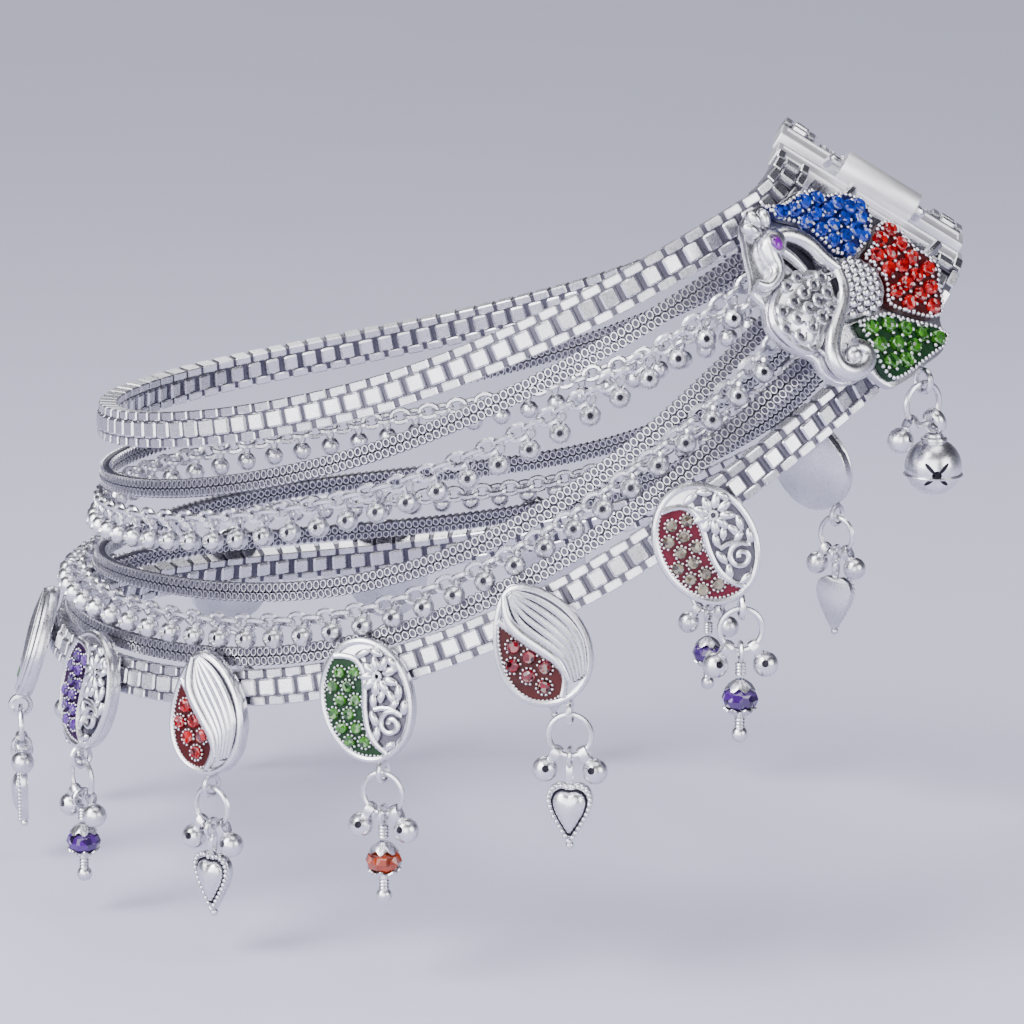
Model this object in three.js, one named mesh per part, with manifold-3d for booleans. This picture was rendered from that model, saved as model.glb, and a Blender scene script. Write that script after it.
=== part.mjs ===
// Payal anklet of seven silver strands, in millimetres.
// +Z is up, +X points to the toes, and the origin is the centre of the ankle that it is worn on.
import * as THREE from 'three';
import { mergeVertices } from 'three/addons/utils/BufferGeometryUtils.js';
import Module from 'manifold-3d';

const wasm = await Module();
wasm.setup();

// Driving dimensions
const CLEARANCE = 0.3;
const PLATE_TOP = new THREE.Vector3(40.15, -7.25, 46.3);
const PLATE_BOTTOM = new THREE.Vector3(57.25, -1.85, 35.4);
const PLATE_WIDTH = 4.2;
const PLATE_THICKNESS = 2.2;
const PLATE_OVERHANG = 2.3;
const PLATE_GAP = 8.0;
const FAR_JOIN = 60;
const HOOK_LENGTH = 10;
const HOOK_RADIUS = 2.0;
const HOOK_STRIP = 0.6;
const HOOK_PIN_RADIUS = 0.5;
const DROP_BELOW = [3.0, 3.8, 3.1, 3.1, 2.6, 2.6, 2.6, 2.6, 3.1, 3.1, 3.8, 3.0];
const FIRST_DROP = 45;
const DROP_PITCH = 20.8;
const DROP_LEAN = 0.15;
const DROP_THICKNESS = 1.4;
const SILVER_RISE = 0.9;
const RING_RADIUS = 2.45;
const RING_WIRE = 0.35;
const EYELET_RADIUS = 1.25;
const EYELET_WIRE = 0.35;
const BAIL_RADIUS = 1.1;
const LARGE_BAIL_RADIUS = 1.4;
const BAIL_WIRE = 0.32;
const SMALL_BELL_RADIUS = 1.5;
const SMALL_BELL_STRAP = 1.1;
const SMALL_BELL_LATITUDES = [-25, 30];
const RING_BELL_TURN = 38;
const RING_BELL_TILT = 32;
const LARGE_BELL_RADIUS = 3.3;
const PLAQUE_BELL_TURN = 40;
const PLAQUE_THICKNESS = 1.0;
const STONE_RADIUS = 0.85;
const RIB_HEIGHT = 1.5;

const SILVER = { color: 0xe4e4ea, roughness: 0.22, metalness: 1 };
const OXIDISED_SILVER = { color: 0xcfcfd6, roughness: 0.32, metalness: 1 };
const BLUE_STONE = { color: 0x1c3fb4, roughness: 0.08, metalness: 0 };
const RED_STONE = { color: 0xb3101c, roughness: 0.08, metalness: 0 };
const GREEN_STONE = { color: 0x1f7a2e, roughness: 0.08, metalness: 0 };
const PURPLE_STONE = { color: 0x7a1fa0, roughness: 0.08, metalness: 0 };
const PURPLE_BEAD = { color: 0x3d2a6e, roughness: 0.12, metalness: 0 };
const ORANGE_BEAD = { color: 0xc45a1e, roughness: 0.12, metalness: 0 };

// Each strand is an oval loop: its reach to the heel and to the instep, its half width, and its
// height at the heel, at the sides and at the instep. swell bends the side heights, join is the
// angle from the instep where the near side turns to its end plate, and seat its place along that.
const STRANDS = [
  { name: 'strand_1_box_chain', kind: 'box', heel: 49.5, instep: 46.5, half: 36.5,
    zHeel: 10.5, zSide: 21.5, zInstep: 47.3, swell: -0.5, join: 33, seat: 0 },
  { name: 'strand_2_mesh_chain', kind: 'mesh', heel: 50, instep: 48, half: 37,
    zHeel: 3.5, zSide: 15, zInstep: 44.6, swell: -0.5, join: 33, seat: 4.15 },
  { name: 'strand_3_bead_chain', kind: 'beads', heel: 50.5, instep: 49.5, half: 37.5,
    zHeel: 0.5, zSide: 10.5, zInstep: 44.3, swell: -1, join: 33, seat: 6.6 },
  { name: 'strand_4_mesh_chain', kind: 'mesh', heel: 51, instep: 51, half: 38,
    zHeel: -7.5, zSide: 0, zInstep: 43, swell: -2.5, join: 32, seat: 11.1 },
  { name: 'strand_5_bead_chain', kind: 'beadsOut', heel: 53.5, instep: 52.5, half: 39,
    zHeel: -8, zSide: -3.2, zInstep: 40.8, swell: -1.8, join: 31, seat: 13.6 },
  { name: 'strand_6_mesh_chain', kind: 'mesh', heel: 55, instep: 54, half: 39.5,
    zHeel: -12.8, zSide: -6.9, zInstep: 35, swell: -1.5, join: 30, seat: 17.4 },
  { name: 'strand_7_box_chain', kind: 'box', heel: 56.5, instep: 55.5, half: 40,
    zHeel: -16.8, zSide: -10.5, zInstep: 27, swell: -1, join: 24, seat: 21.0 },
];

// The outline of each chain across its run: x points away from the ankle, y up along it
const SECTIONS = {
  box: { steps: 30, outline: chamfered(1.4, 2.15, 0.5) },
  mesh: { steps: 35, outline: chamfered(0.9, 1.1, 0.45) },
  beads: {
    steps: 32,
    outline: [[-0.8, 0.2], [-0.3, 0.7], [0.6, 0.7], [1.9, -1.6], [2.05, -2.9],
      [1.3, -3.7], [0.2, -3.7], [-0.5, -2.9]],
  },
  beadsOut: {
    steps: 32,
    outline: [[-0.8, 0.1], [-0.3, 0.5], [0.8, 0.5], [2.6, -0.3], [3.2, -1.3],
      [2.7, -2.4], [1.5, -2.5], [-0.6, -0.7]],
  },
};
const BEADED_FROM = 36;
const BARE_CHAIN = 0.4;

// Directions of the end plates: along them, across them away from the ankle's near side, and out
const alongPlate = PLATE_BOTTOM.clone().sub(PLATE_TOP).normalize();
const acrossPlate = new THREE.Vector3(0, 1, 0).addScaledVector(alongPlate, -alongPlate.y).normalize();
const outOfPlate = alongPlate.clone().cross(acrossPlate);
const plateLength = PLATE_BOTTOM.distanceTo(PLATE_TOP);

function chamfered(halfWidth, halfHeight, cut) {
  return [
    [halfWidth, cut - halfHeight], [halfWidth, halfHeight - cut],
    [halfWidth - cut, halfHeight], [cut - halfWidth, halfHeight],
    [-halfWidth, halfHeight - cut], [-halfWidth, cut - halfHeight],
    [cut - halfWidth, -halfHeight], [halfWidth - cut, -halfHeight],
  ];
}

function shapeOf(points) {
  return new THREE.Shape(points.map(([x, y]) => new THREE.Vector2(x, y)));
}

// Point of a strand's oval at an angle measured from the instep over the near side
function onLoop(strand, degrees) {
  const turn = THREE.MathUtils.degToRad(degrees);
  const cos = Math.cos(turn);
  const middle = (strand.zHeel + strand.zInstep) / 4 + strand.zSide / 2;
  const slope = (strand.zInstep - strand.zHeel) / 2;
  const height = middle + slope * cos + (middle - strand.zSide) * Math.cos(2 * turn)
    + strand.swell * (cos - Math.cos(3 * turn));
  const reach = cos > 0 ? strand.instep : strand.heel;
  return new THREE.Vector3(reach * cos, -strand.half * Math.sin(turn), height);
}

// Where a strand meets its end plate, on the near or the far side
function seatOf(strand, near) {
  const inset = PLATE_WIDTH / 2 + CLEARANCE + 0.2;
  const across = near ? -inset : PLATE_GAP + inset;
  return PLATE_TOP.clone().addScaledVector(alongPlate, strand.seat).addScaledVector(acrossPlate, across);
}

// Smooth curve from the end plate to the loop, square to the plate and in line with the loop
function leadIn(strand, degrees) {
  const near = degrees < 180;
  const joinAt = near ? strand.join : 360 - FAR_JOIN;
  const step = near ? 0.05 : -0.05;
  const seat = seatOf(strand, near);
  const joint = onLoop(strand, joinAt);
  const run = seat.distanceTo(joint);
  const leave = acrossPlate.clone().multiplyScalar(near ? -run : run);
  const arrive = onLoop(strand, joinAt + step).sub(onLoop(strand, joinAt - step)).setLength(run);
  const s = near ? degrees / strand.join : (360 - degrees) / FAR_JOIN;
  return new THREE.Vector3()
    .addScaledVector(seat, 2 * s ** 3 - 3 * s ** 2 + 1)
    .addScaledVector(leave, s ** 3 - 2 * s ** 2 + s)
    .addScaledVector(joint, 3 * s ** 2 - 2 * s ** 3)
    .addScaledVector(arrive, s ** 3 - s ** 2);
}

function onStrand(strand, degrees) {
  const joined = degrees >= strand.join && degrees <= 360 - FAR_JOIN;
  return joined ? onLoop(strand, degrees) : leadIn(strand, degrees);
}

// The run of one strand, with frames that keep its section flat to the ankle. scaleAt makes the
// section smaller where the strand carries no beads.
class StrandRun extends THREE.Curve {
  constructor(index, scaleAt = () => 1) {
    super();
    this.strand = STRANDS[index];
    this.above = STRANDS[Math.max(index - 1, 0)];
    this.below = STRANDS[Math.min(index + 1, STRANDS.length - 1)];
    this.scaleAt = scaleAt;
  }

  getPoint(t, target = new THREE.Vector3()) {
    return target.copy(onStrand(this.strand, 360 * t));
  }

  // Unit axes at a share u of the length: along the strand, away from the ankle, and up along it
  axesAt(u) {
    const degrees = 360 * this.getUtoTmapping(u);
    const along = this.getTangentAt(u);
    const rise = onStrand(this.above, degrees).sub(onStrand(this.below, degrees));
    const out = rise.cross(along).normalize();
    const up = along.clone().cross(out);
    return { degrees, along, out, up };
  }

  computeFrenetFrames(segments) {
    const frames = { tangents: [], normals: [], binormals: [] };
    for (let i = 0; i <= segments; i += 1) {
      const { degrees, along, out, up } = this.axesAt(i / segments);
      const scale = this.scaleAt(degrees);
      frames.tangents.push(along);
      frames.normals.push(out.multiplyScalar(scale));
      frames.binormals.push(up.multiplyScalar(scale));
    }
    return frames;
  }
}

function beadedScale(degrees) {
  const fromInstep = Math.min(degrees, 360 - degrees);
  return fromInstep < BEADED_FROM ? BARE_CHAIN : 1;
}

function strandGeometry(index) {
  const { kind } = STRANDS[index];
  const { steps, outline } = SECTIONS[kind];
  const scaleAt = kind.startsWith('beads') ? beadedScale : undefined;
  return new THREE.ExtrudeGeometry(shapeOf(outline), {
    steps, bevelEnabled: false, extrudePath: new StrandRun(index, scaleAt),
  });
}

// Booleans
function toManifold(geometry) {
  const bare = geometry.clone();
  bare.deleteAttribute('normal');
  bare.deleteAttribute('uv');
  const merged = mergeVertices(bare, 1e-4);
  return new wasm.Manifold(new wasm.Mesh({
    numProp: 3,
    vertProperties: new Float32Array(merged.attributes.position.array),
    triVerts: new Uint32Array(merged.index.array),
  }));
}

function toGeometry(solid) {
  const mesh = solid.getMesh();
  const geometry = new THREE.BufferGeometry();
  geometry.setAttribute('position', new THREE.BufferAttribute(mesh.vertProperties, 3));
  geometry.setIndex(new THREE.BufferAttribute(mesh.triVerts, 1));
  geometry.computeVertexNormals();
  return geometry;
}

function fused(...geometries) {
  return toGeometry(geometries.map(toManifold).reduce((whole, part) => whole.add(part)));
}

function cutBy(geometry, tool) {
  return toGeometry(toManifold(geometry).subtract(toManifold(tool)));
}

// Simple solids, each centred on its own place
function slab(points, from, to, bevel = 0) {
  const geometry = new THREE.ExtrudeGeometry(shapeOf(points), {
    depth: to - from - 2 * bevel, steps: 1,
    bevelEnabled: bevel > 0, bevelSegments: 1, bevelThickness: bevel, bevelSize: bevel, bevelOffset: -bevel,
  });
  return geometry.translate(0, 0, from + bevel);
}

function turned(profile, sides) {
  return new THREE.LatheGeometry(profile.map(([r, h]) => new THREE.Vector2(r, h)), sides);
}

function wireRing(radius, wire, around, sides = 5) {
  return new THREE.TorusGeometry(radius, wire, sides, around);
}

// A low dome standing on the plaque's face
function dome(x, y, halfWidth, halfHeight, height, tilt = 0, sides = 10) {
  const profile = [[0, -0.3], [1, -0.3], [1, 0.15], [0.75, 0.7], [0, 1]];
  return turned(profile.map(([r, h]) => [r, h < 0 ? h / height : h]), sides)
    .rotateX(Math.PI / 2)
    .scale(halfWidth, halfHeight, height)
    .rotateZ(THREE.MathUtils.degToRad(tilt))
    .translate(x, y, 0);
}

// A round bar through points, whose thickness follows `taper` from one end to the other
class DrawnBar extends THREE.CatmullRomCurve3 {
  constructor(points, taper) {
    super(points.map(([x, y, z]) => new THREE.Vector3(x, y, z)));
    this.taper = taper;
  }

  computeFrenetFrames(segments) {
    const frames = super.computeFrenetFrames(segments, false);
    for (let i = 0; i <= segments; i += 1) {
      const scale = this.taper(i / segments);
      frames.normals[i].multiplyScalar(scale);
      frames.binormals[i].multiplyScalar(scale);
    }
    return frames;
  }
}

function bar(points, radius, steps, taper = () => 1, sides = 8) {
  const outline = Array.from({ length: sides }, (_, i) => {
    const turn = (2 * Math.PI * i) / sides;
    return [radius * Math.cos(turn), radius * Math.sin(turn)];
  });
  return new THREE.ExtrudeGeometry(shapeOf(outline), {
    steps, bevelEnabled: false, extrudePath: new DrawnBar(points, taper),
  });
}

// A raised rib on the plaque's face, half sunk so that nothing is undercut
function relief(points, radius, steps, taper) {
  return bar(points.map(([x, y]) => [x, y, 0]), radius, steps, taper, 6).scale(1, 1, RIB_HEIGHT);
}

function ellipsePoints(halfWidth, halfHeight, count, from = 0, to = 360) {
  const closed = to - from === 360;
  return Array.from({ length: count }, (_, i) => {
    const turn = THREE.MathUtils.degToRad(from + ((to - from) * i) / (closed ? count : count - 1));
    return [halfWidth * Math.cos(turn), halfHeight * Math.sin(turn)];
  });
}

// A cut stone: a table over a crown of eight facets, sunk a little into its setting
function cutStone(radius, x, y, z) {
  return turned([[0, -0.2], [radius, -0.2], [0.58 * radius, 0.75 * radius], [0, 0.75 * radius]], 8)
    .rotateX(Math.PI / 2)
    .translate(x, y, z);
}

function mesh(name, geometry, finish) {
  const part = new THREE.Mesh(geometry, new THREE.MeshStandardMaterial(finish));
  part.name = name;
  return part;
}

function placedGroup(origin, right, up, out) {
  const group = new THREE.Group();
  group.position.copy(origin);
  group.quaternion.setFromRotationMatrix(new THREE.Matrix4().makeBasis(right, up, out));
  return group;
}

// End plates and clasp, drawn with x along the plates, y across them and z out
function platePlank(acrossAt) {
  const length = plateLength + 2 * PLATE_OVERHANG;
  return new THREE.BoxGeometry(length, PLATE_WIDTH, PLATE_THICKNESS).translate(plateLength / 2, acrossAt, 0);
}

const HOOK_AXIS = { y: 2.9, z: 2.3 };

function hookPlate() {
  const inner = HOOK_RADIUS - HOOK_STRIP;
  const curl = [
    ...ellipsePoints(HOOK_RADIUS, HOOK_RADIUS, 9, -50, 230),
    ...ellipsePoints(inner, inner, 9, 230, -50),
  ].map(([y, z]) => [y + HOOK_AXIS.y, z + HOOK_AXIS.z]);
  const strip = new THREE.ExtrudeGeometry(shapeOf(curl), { depth: HOOK_LENGTH, bevelEnabled: false })
    .applyMatrix4(new THREE.Matrix4().makeBasis(
      new THREE.Vector3(0, 1, 0), new THREE.Vector3(0, 0, 1), new THREE.Vector3(1, 0, 0)))
    .translate((plateLength - HOOK_LENGTH) / 2, 0, 0);
  return fused(platePlank(0), strip);
}

function eyePlate() {
  const reach = HOOK_RADIUS - HOOK_STRIP - HOOK_PIN_RADIUS - CLEARANCE;
  const pin = { y: HOOK_AXIS.y + reach, z: HOOK_AXIS.z };
  const half = HOOK_LENGTH / 2 + 1.2;
  const middle = plateLength / 2;
  const foot = [PLATE_GAP - PLATE_WIDTH / 2 + 0.6, 0.4];
  const loop = [
    [middle - half, ...foot], [middle - half, pin.y + 0.6, pin.z - 0.3], [middle - half + 0.8, pin.y, pin.z],
    [middle, pin.y, pin.z],
    [middle + half - 0.8, pin.y, pin.z], [middle + half, pin.y + 0.6, pin.z - 0.3], [middle + half, ...foot],
  ];
  return fused(platePlank(PLATE_GAP), bar(loop, HOOK_PIN_RADIUS, 14, () => 1, 6));
}

function claspGroup() {
  const group = placedGroup(PLATE_TOP, alongPlate, acrossPlate, outOfPlate);
  group.add(mesh('clasp_hook_plate', hookPlate(), SILVER));
  group.add(mesh('clasp_eye_plate', eyePlate(), SILVER));
  return group;
}

// The peacock plaque lies over the strands' front ends. x and y run across its face, z out of it.
const PLAQUE_OUT = new THREE.Vector3(0.726, -0.506, 0.467).normalize();
const PLAQUE_UP = new THREE.Vector3(-0.596, -0.122, 0.794);
const PLAQUE_CENTRE = new THREE.Vector3(50.95, -15.7, 39.1);

const PLAQUE_EYELET = new THREE.Vector3(-4.6, -17.05, -0.5);
const PLAQUE_EYELET_TURN = -0.45;

const PLAQUE_OUTLINE = [
  [-13.1, 10.0], [-14.2, 8.2], [-15.2, 6.8], [-16.6, 4.4], [-18.0, 3.4], [-17.4, 1.4], [-19.0, -0.6],
  [-18.8, -3.0], [-17.2, -5.6], [-16.2, -6.6], [-16.6, -8.6], [-15.6, -10.8], [-13.2, -12.0],
  [-10.8, -12.0], [-10.4, -13.8], [-9.6, -15.2], [-6.6, -15.7], [-3.6, -15.8], [-0.4, -16.1], [1.8, -15.4],
  [2.2, -13.4], [3.9, -12.0], [5.2, -9.9], [6.8, -8.7], [6.7, -7.0], [5.4, -4.5], [5.3, -2.0],
  [4.4, 0.1], [3.2, 1.7], [3.1, 3.6], [1.9, 5.2], [0.4, 6.4], [-1.5, 7.0], [-2.1, 8.0], [-3.6, 9.0],
  [-7.6, 9.2], [-9.9, 10.8],
];
const BLUE_FIELD = [
  [-9.8, 10.3], [-7.6, 8.9], [-5.4, 8.8], [-3.5, 8.6], [-2.2, 7.7], [-1.6, 6.6], [0.3, 6.0],
  [1.8, 4.9], [2.8, 3.5], [2.9, 1.8], [1.6, 0.4], [-0.3, -0.6], [-2.8, -0.8], [-5.4, 0.6],
  [-5.8, 2.8], [-6.2, 4.6], [-7.4, 6.5], [-9.0, 7.9],
];
const RED_FIELD = [
  [-2.3, -1.6], [0.5, -1.1], [2.5, 0.2], [4.2, -0.3], [4.9, -2.2], [5.0, -4.6], [6.3, -7.1],
  [6.3, -8.5], [4.8, -9.5], [3.6, -11.6], [2.4, -12.6], [0.7, -12.2], [-0.9, -10.7], [-3.0, -8.4],
  [-3.5, -7.3], [-1.6, -5.5], [-1.6, -3.5],
];
const GREEN_FIELD = [
  [-8.8, -6.6], [-7.3, -7.2], [-4.5, -8.0], [-3.2, -9.5], [-1.1, -11.6], [0.7, -13.3], [1.3, -15.1],
  [-0.4, -15.5], [-3.7, -15.2], [-6.8, -15.1], [-9.4, -14.6], [-10.0, -13.5], [-9.8, -11.8],
  [-9.3, -9.8],
];
const BLUE_STONES = [
  [-8.3, 8.4], [-6.5, 7.6], [-4.6, 7.6], [-2.8, 6.9], [-6.3, 5.7], [-4.4, 5.7], [-2.6, 5.1],
  [-0.8, 5.0], [-5.0, 3.9], [-3.2, 3.4], [-1.4, 3.2], [0.4, 3.8], [-4.6, 2.1], [-2.8, 1.6],
  [-1.0, 1.4], [0.8, 2.0], [1.7, 3.2], [-3.4, 0.1], [-0.3, 0.3],
];
const RED_STONES = [
  [3.4, -1.3], [1.4, -1.3], [-0.5, -2.5], [1.4, -3.3], [3.4, -3.3], [-0.3, -4.5], [1.6, -5.3],
  [3.6, -5.3], [-1.5, -7.0], [0.5, -7.1], [2.5, -7.2], [4.6, -7.5], [-0.9, -9.0], [1.2, -9.2],
  [3.2, -9.4], [1.8, -11.2],
];
const GREEN_STONES = [
  [-7.6, -8.2], [-5.4, -9.3], [-8.2, -10.3], [-3.7, -10.9], [-6.0, -11.5], [-8.2, -12.6],
  [-2.0, -12.7], [-4.2, -13.1], [-6.4, -13.7], [-0.5, -14.3],
];

function featherField(outline, stones) {
  const tray = slab(outline, CLEARANCE, 1.3);
  return fused(tray, ...stones.map(([x, y]) => cutStone(STONE_RADIUS, x, y, 1.3)));
}

const EYE = { x: -12.3, y: 6.1, halfWidth: 0.7, halfHeight: 0.95, sill: 1.2 };

function eyeSolid(grow, floor) {
  const profile = [[0, 0], [1, 0], [1, 0.5], [0.6, 1], [0, 1]];
  return turned(profile, 8)
    .rotateX(Math.PI / 2)
    .scale(EYE.halfWidth + grow, EYE.halfHeight + grow, 1.6)
    .translate(EYE.x, EYE.y, floor);
}

// Bent tongues that carry the plaque on the hook's end plate
const TONGUE_RADIUS = 0.65;
const TONGUES = [
  [[0.5, 4.6, -0.5], [3.6, 4.6, -0.7], [6.2, 4.6, -2.6], [7.8, 4.6, -4.4]],
  [[4.0, -6.6, -0.8], [6.8, -6.6, -0.6], [8.8, -6.6, -0.6], [10.2, -6.6, -1.1]],
];

function peacock() {
  const taperBoth = (t) => 0.55 + 0.45 * Math.sin(Math.PI * t);
  const taperTip = (t) => 1 - 0.65 * t;
  const base = slab(PLAQUE_OUTLINE, -PLAQUE_THICKNESS, 0);
  const body = dome(-13.4, -1.8, 5.3, 3.5, 2.0, -20);
  const wing = dome(-5.8, -3.3, 3.9, 3.0, 1.8, -20);
  const head = dome(-12.3, 6.0, 2.7, 2.1, 2.1, 20);
  const crest = dome(-11.4, 9.1, 1.7, 1.3, 1.2, 30, 8);
  const neck = relief([[-10.6, 6.6], [-8.6, 5.5], [-7.7, 3.4], [-7.6, 1.2], [-8.6, -0.6]],
    1.3, 7, taperBoth);
  const beak = relief([[-13.6, 6.2], [-14.8, 4.9], [-15.4, 3.6], [-16.9, 3.2]], 1.3, 5, taperTip);
  const tail = relief([[-6.9, 0.2], [-7.4, -1.9], [-9.0, -3.8], [-11.4, -4.8], [-13.6, -6.1],
    [-15.0, -8.0], [-14.5, -10.1], [-12.4, -10.8], [-10.8, -9.9], [-11.4, -8.7]], 1.15, 12, taperBoth);
  const eyelet = wireRing(EYELET_RADIUS, EYELET_WIRE, 8)
    .rotateY(Math.PI / 2)
    .rotateZ(PLAQUE_EYELET_TURN)
    .translate(...PLAQUE_EYELET);
  const tongues = TONGUES.map((points) => bar(points, TONGUE_RADIUS, 4, () => 1, 6));
  const whole = fused(base, body, wing, head, crest, neck, beak, tail, eyelet, ...tongues);
  return cutBy(whole, eyeSolid(CLEARANCE, EYE.sill - CLEARANCE));
}

// Points of a ball's outline at these latitudes, as radius and height
function ballProfile(radius, centre, latitudes) {
  return latitudes.map((degrees) => {
    const turn = THREE.MathUtils.degToRad(degrees);
    return [Math.abs(degrees) === 90 ? 0 : radius * Math.cos(turn), centre + radius * Math.sin(turn)];
  });
}

// A round rattle bell under a strap whose top is at the origin
function smallBell() {
  const centre = -SMALL_BELL_STRAP - SMALL_BELL_RADIUS;
  const ball = turned(ballProfile(SMALL_BELL_RADIUS, centre, [-90, ...SMALL_BELL_LATITUDES, 90]), 10);
  const strap = new THREE.BoxGeometry(0.9, 0.45, SMALL_BELL_STRAP + 0.4)
    .translate(0, 0, -SMALL_BELL_STRAP / 2 - 0.2);
  return fused(ball.rotateX(Math.PI / 2), strap);
}

// Bells, rings and charms hang straight down, drawn with z up, y away from the ankle and x across,
// to the left as seen from outside
function bellRing() {
  const ring = wireRing(RING_RADIUS, RING_WIRE, 10).rotateX(Math.PI / 2);
  const bells = [-1, 1].map((side) => {
    const turn = THREE.MathUtils.degToRad(-90 + side * RING_BELL_TURN);
    return smallBell()
      .rotateY(THREE.MathUtils.degToRad(-side * RING_BELL_TILT))
      .translate(RING_RADIUS * Math.cos(turn), 0, RING_RADIUS * Math.sin(turn));
  });
  return fused(ring, ...bells);
}

// The plaque's ring carries a small bell to the left and a large one, on a bail, to the right
function jumpRing() {
  const turn = THREE.MathUtils.degToRad(-90 + PLAQUE_BELL_TURN);
  const bell = smallBell()
    .rotateY(THREE.MathUtils.degToRad(-PLAQUE_BELL_TURN))
    .translate(RING_RADIUS * Math.cos(turn), 0, RING_RADIUS * Math.sin(turn));
  return fused(wireRing(RING_RADIUS, RING_WIRE, 12).rotateX(Math.PI / 2), bell);
}

function largeBell() {
  const ball = ballProfile(LARGE_BELL_RADIUS, -LARGE_BELL_RADIUS - 2.0, [-90, -55, -25, 5, 35, 60]);
  const profile = [...ball, [1.5, -1.9], [0.5, -1.5], [0, -1.5]];
  const turn = THREE.MathUtils.degToRad(PLAQUE_BELL_TURN / 2);
  return fused(turned(profile, 12).rotateX(Math.PI / 2), bail(LARGE_BAIL_RADIUS).rotateY(turn));
}

function bail(radius = BAIL_RADIUS) {
  return wireRing(radius, BAIL_WIRE, 8).rotateY(Math.PI / 2);
}

// A faceted glass bead between two flared silver caps, with a ball under it
function beadCharm() {
  const profile = [[0, -10.7], [0.95, -9.8], [0.5, -8.9], [0.6, -7.6], [2.0, -6.6], [2.0, -4.8],
    [0.5, -3.2], [0, -1.2]];
  return fused(turned(profile, 10).rotateX(Math.PI / 2), bail());
}

// A heart shaped leaf under a long bail
function leafCharm() {
  const leaf = [[0, -3.0], [1.4, -3.2], [2.5, -4.2], [2.7, -5.6], [1.8, -7.8], [0.2, -10.4],
    [-1.5, -8.2], [-2.6, -6.0], [-2.6, -4.4], [-1.6, -3.2]];
  const blade = slab(leaf, -0.8, 0.8).rotateX(Math.PI / 2);
  const stem = new THREE.BoxGeometry(0.9, 0.8, 2.9).translate(0, 0, -2.2);
  return fused(blade, stem, bail());
}

// Plaques of the drops, drawn with x across, y up and z out. Right of an S curve the silver is raised
const OVAL_OUTLINE = ellipsePoints(5.75, 7.25, 14);
const OVAL_SILVER = [
  [-1.6, 6.6], [0.6, 6.6], [3.2, 5.4], [4.9, 2.8], [5.2, -0.2], [4.5, -3.6], [2.8, -5.7],
  [1.0, -5.5], [0.1, -3.6], [0.2, -1.0], [0.8, 1.3], [1.1, 3.9], [0.0, 5.9],
];
const LEAF_OUTLINE = [
  [-0.8, 8.0], [-2.6, 6.6], [-4.4, 3.8], [-5.5, 0.6], [-5.7, -2.2], [-4.7, -5.0], [-2.5, -6.6],
  [0.2, -7.1], [2.8, -6.3], [4.7, -4.2], [5.5, -1.2], [5.1, 1.8], [3.7, 4.6], [1.6, 6.8],
];
const LEAF_SILVER = [
  [-0.9, 7.3], [-2.6, 5.7], [-1.8, 3.0], [-0.7, 1.1], [0.9, -1.0], [1.8, -2.8], [1.7, -5.6],
  [3.6, -4.6], [4.9, -1.2], [4.5, 1.8], [3.1, 4.4], [1.1, 6.4],
];

function dropPlaque({ outline, silver, eyelet }, turn) {
  const base = slab(outline, 0, DROP_THICKNESS);
  const raised = slab(silver, DROP_THICKNESS / 2, DROP_THICKNESS + SILVER_RISE);
  const loop = wireRing(EYELET_RADIUS, EYELET_WIRE, 8)
    .rotateY(Math.PI / 2)
    .rotateZ(turn)
    .translate(0, eyelet, DROP_THICKNESS / 2);
  return fused(base, raised, loop);
}

const DROP_KINDS = [
  { outline: OVAL_OUTLINE, silver: OVAL_SILVER, eyelet: -8.35, charm: 'bead', finish: PURPLE_BEAD },
  { outline: LEAF_OUTLINE, silver: LEAF_SILVER, eyelet: -8.25, charm: 'leaf', finish: OXIDISED_SILVER },
];

const UP = new THREE.Vector3(0, 0, 1);

const EYELET_PLAY = EYELET_RADIUS - EYELET_WIRE - RING_WIRE - CLEARANCE;
const BAIL_PLAY = BAIL_RADIUS - BAIL_WIRE - RING_WIRE - CLEARANCE;
const LARGE_BAIL_PLAY = BAIL_PLAY + LARGE_BAIL_RADIUS - BAIL_RADIUS;

// A frame at the centre of a ring that hangs in an eyelet, facing away from the ankle
function hangingGroup(eyelet, out) {
  const level = new THREE.Vector3(out.x, out.y, 0).normalize();
  const side = level.clone().cross(UP);
  return placedGroup(eyelet.clone().addScaledVector(UP, -RING_RADIUS - EYELET_PLAY), side, level, UP);
}

// One drop: its plaque stands on the lowest strand, and its ring, bells and charm hang under it
function dropGroup(number, run, length) {
  const kind = DROP_KINDS[(number - 1) % 2];
  const u = (FIRST_DROP + (number - 1) * DROP_PITCH) / length;
  const { out, up } = run.axesAt(u);
  const lean = UP.clone().addScaledVector(out, -out.z).normalize();
  const rise = up.clone().lerp(lean, DROP_LEAN).normalize();
  const right = rise.clone().cross(out).normalize();
  const face = SECTIONS.box.outline[0][0] + CLEARANCE;
  const centre = run.getPointAt(u).addScaledVector(out, face).addScaledVector(rise, -DROP_BELOW[number - 1]);
  const plaque = placedGroup(centre, right, rise, out);
  const label = `drop_${String(number).padStart(2, '0')}`;
  const eyeletTurn = Math.atan2(-right.z, rise.z);
  plaque.add(mesh(`${label}_plaque`, dropPlaque(kind, eyeletTurn), OXIDISED_SILVER));

  const eyelet = centre.clone()
    .addScaledVector(rise, kind.eyelet)
    .addScaledVector(out, DROP_THICKNESS / 2);
  const hanging = hangingGroup(eyelet, out);
  hanging.add(mesh(`${label}_bell_ring`, bellRing(), SILVER));
  const charm = kind.charm === 'bead' ? beadCharm() : leafCharm();
  const finish = kind.charm === 'bead' && number === 3 ? ORANGE_BEAD : kind.finish;
  charm.translate(0, 0, -(RING_RADIUS + BAIL_PLAY));
  hanging.add(mesh(`${label}_${kind.charm}_charm`, charm, finish));
  return [plaque, hanging];
}

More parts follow.
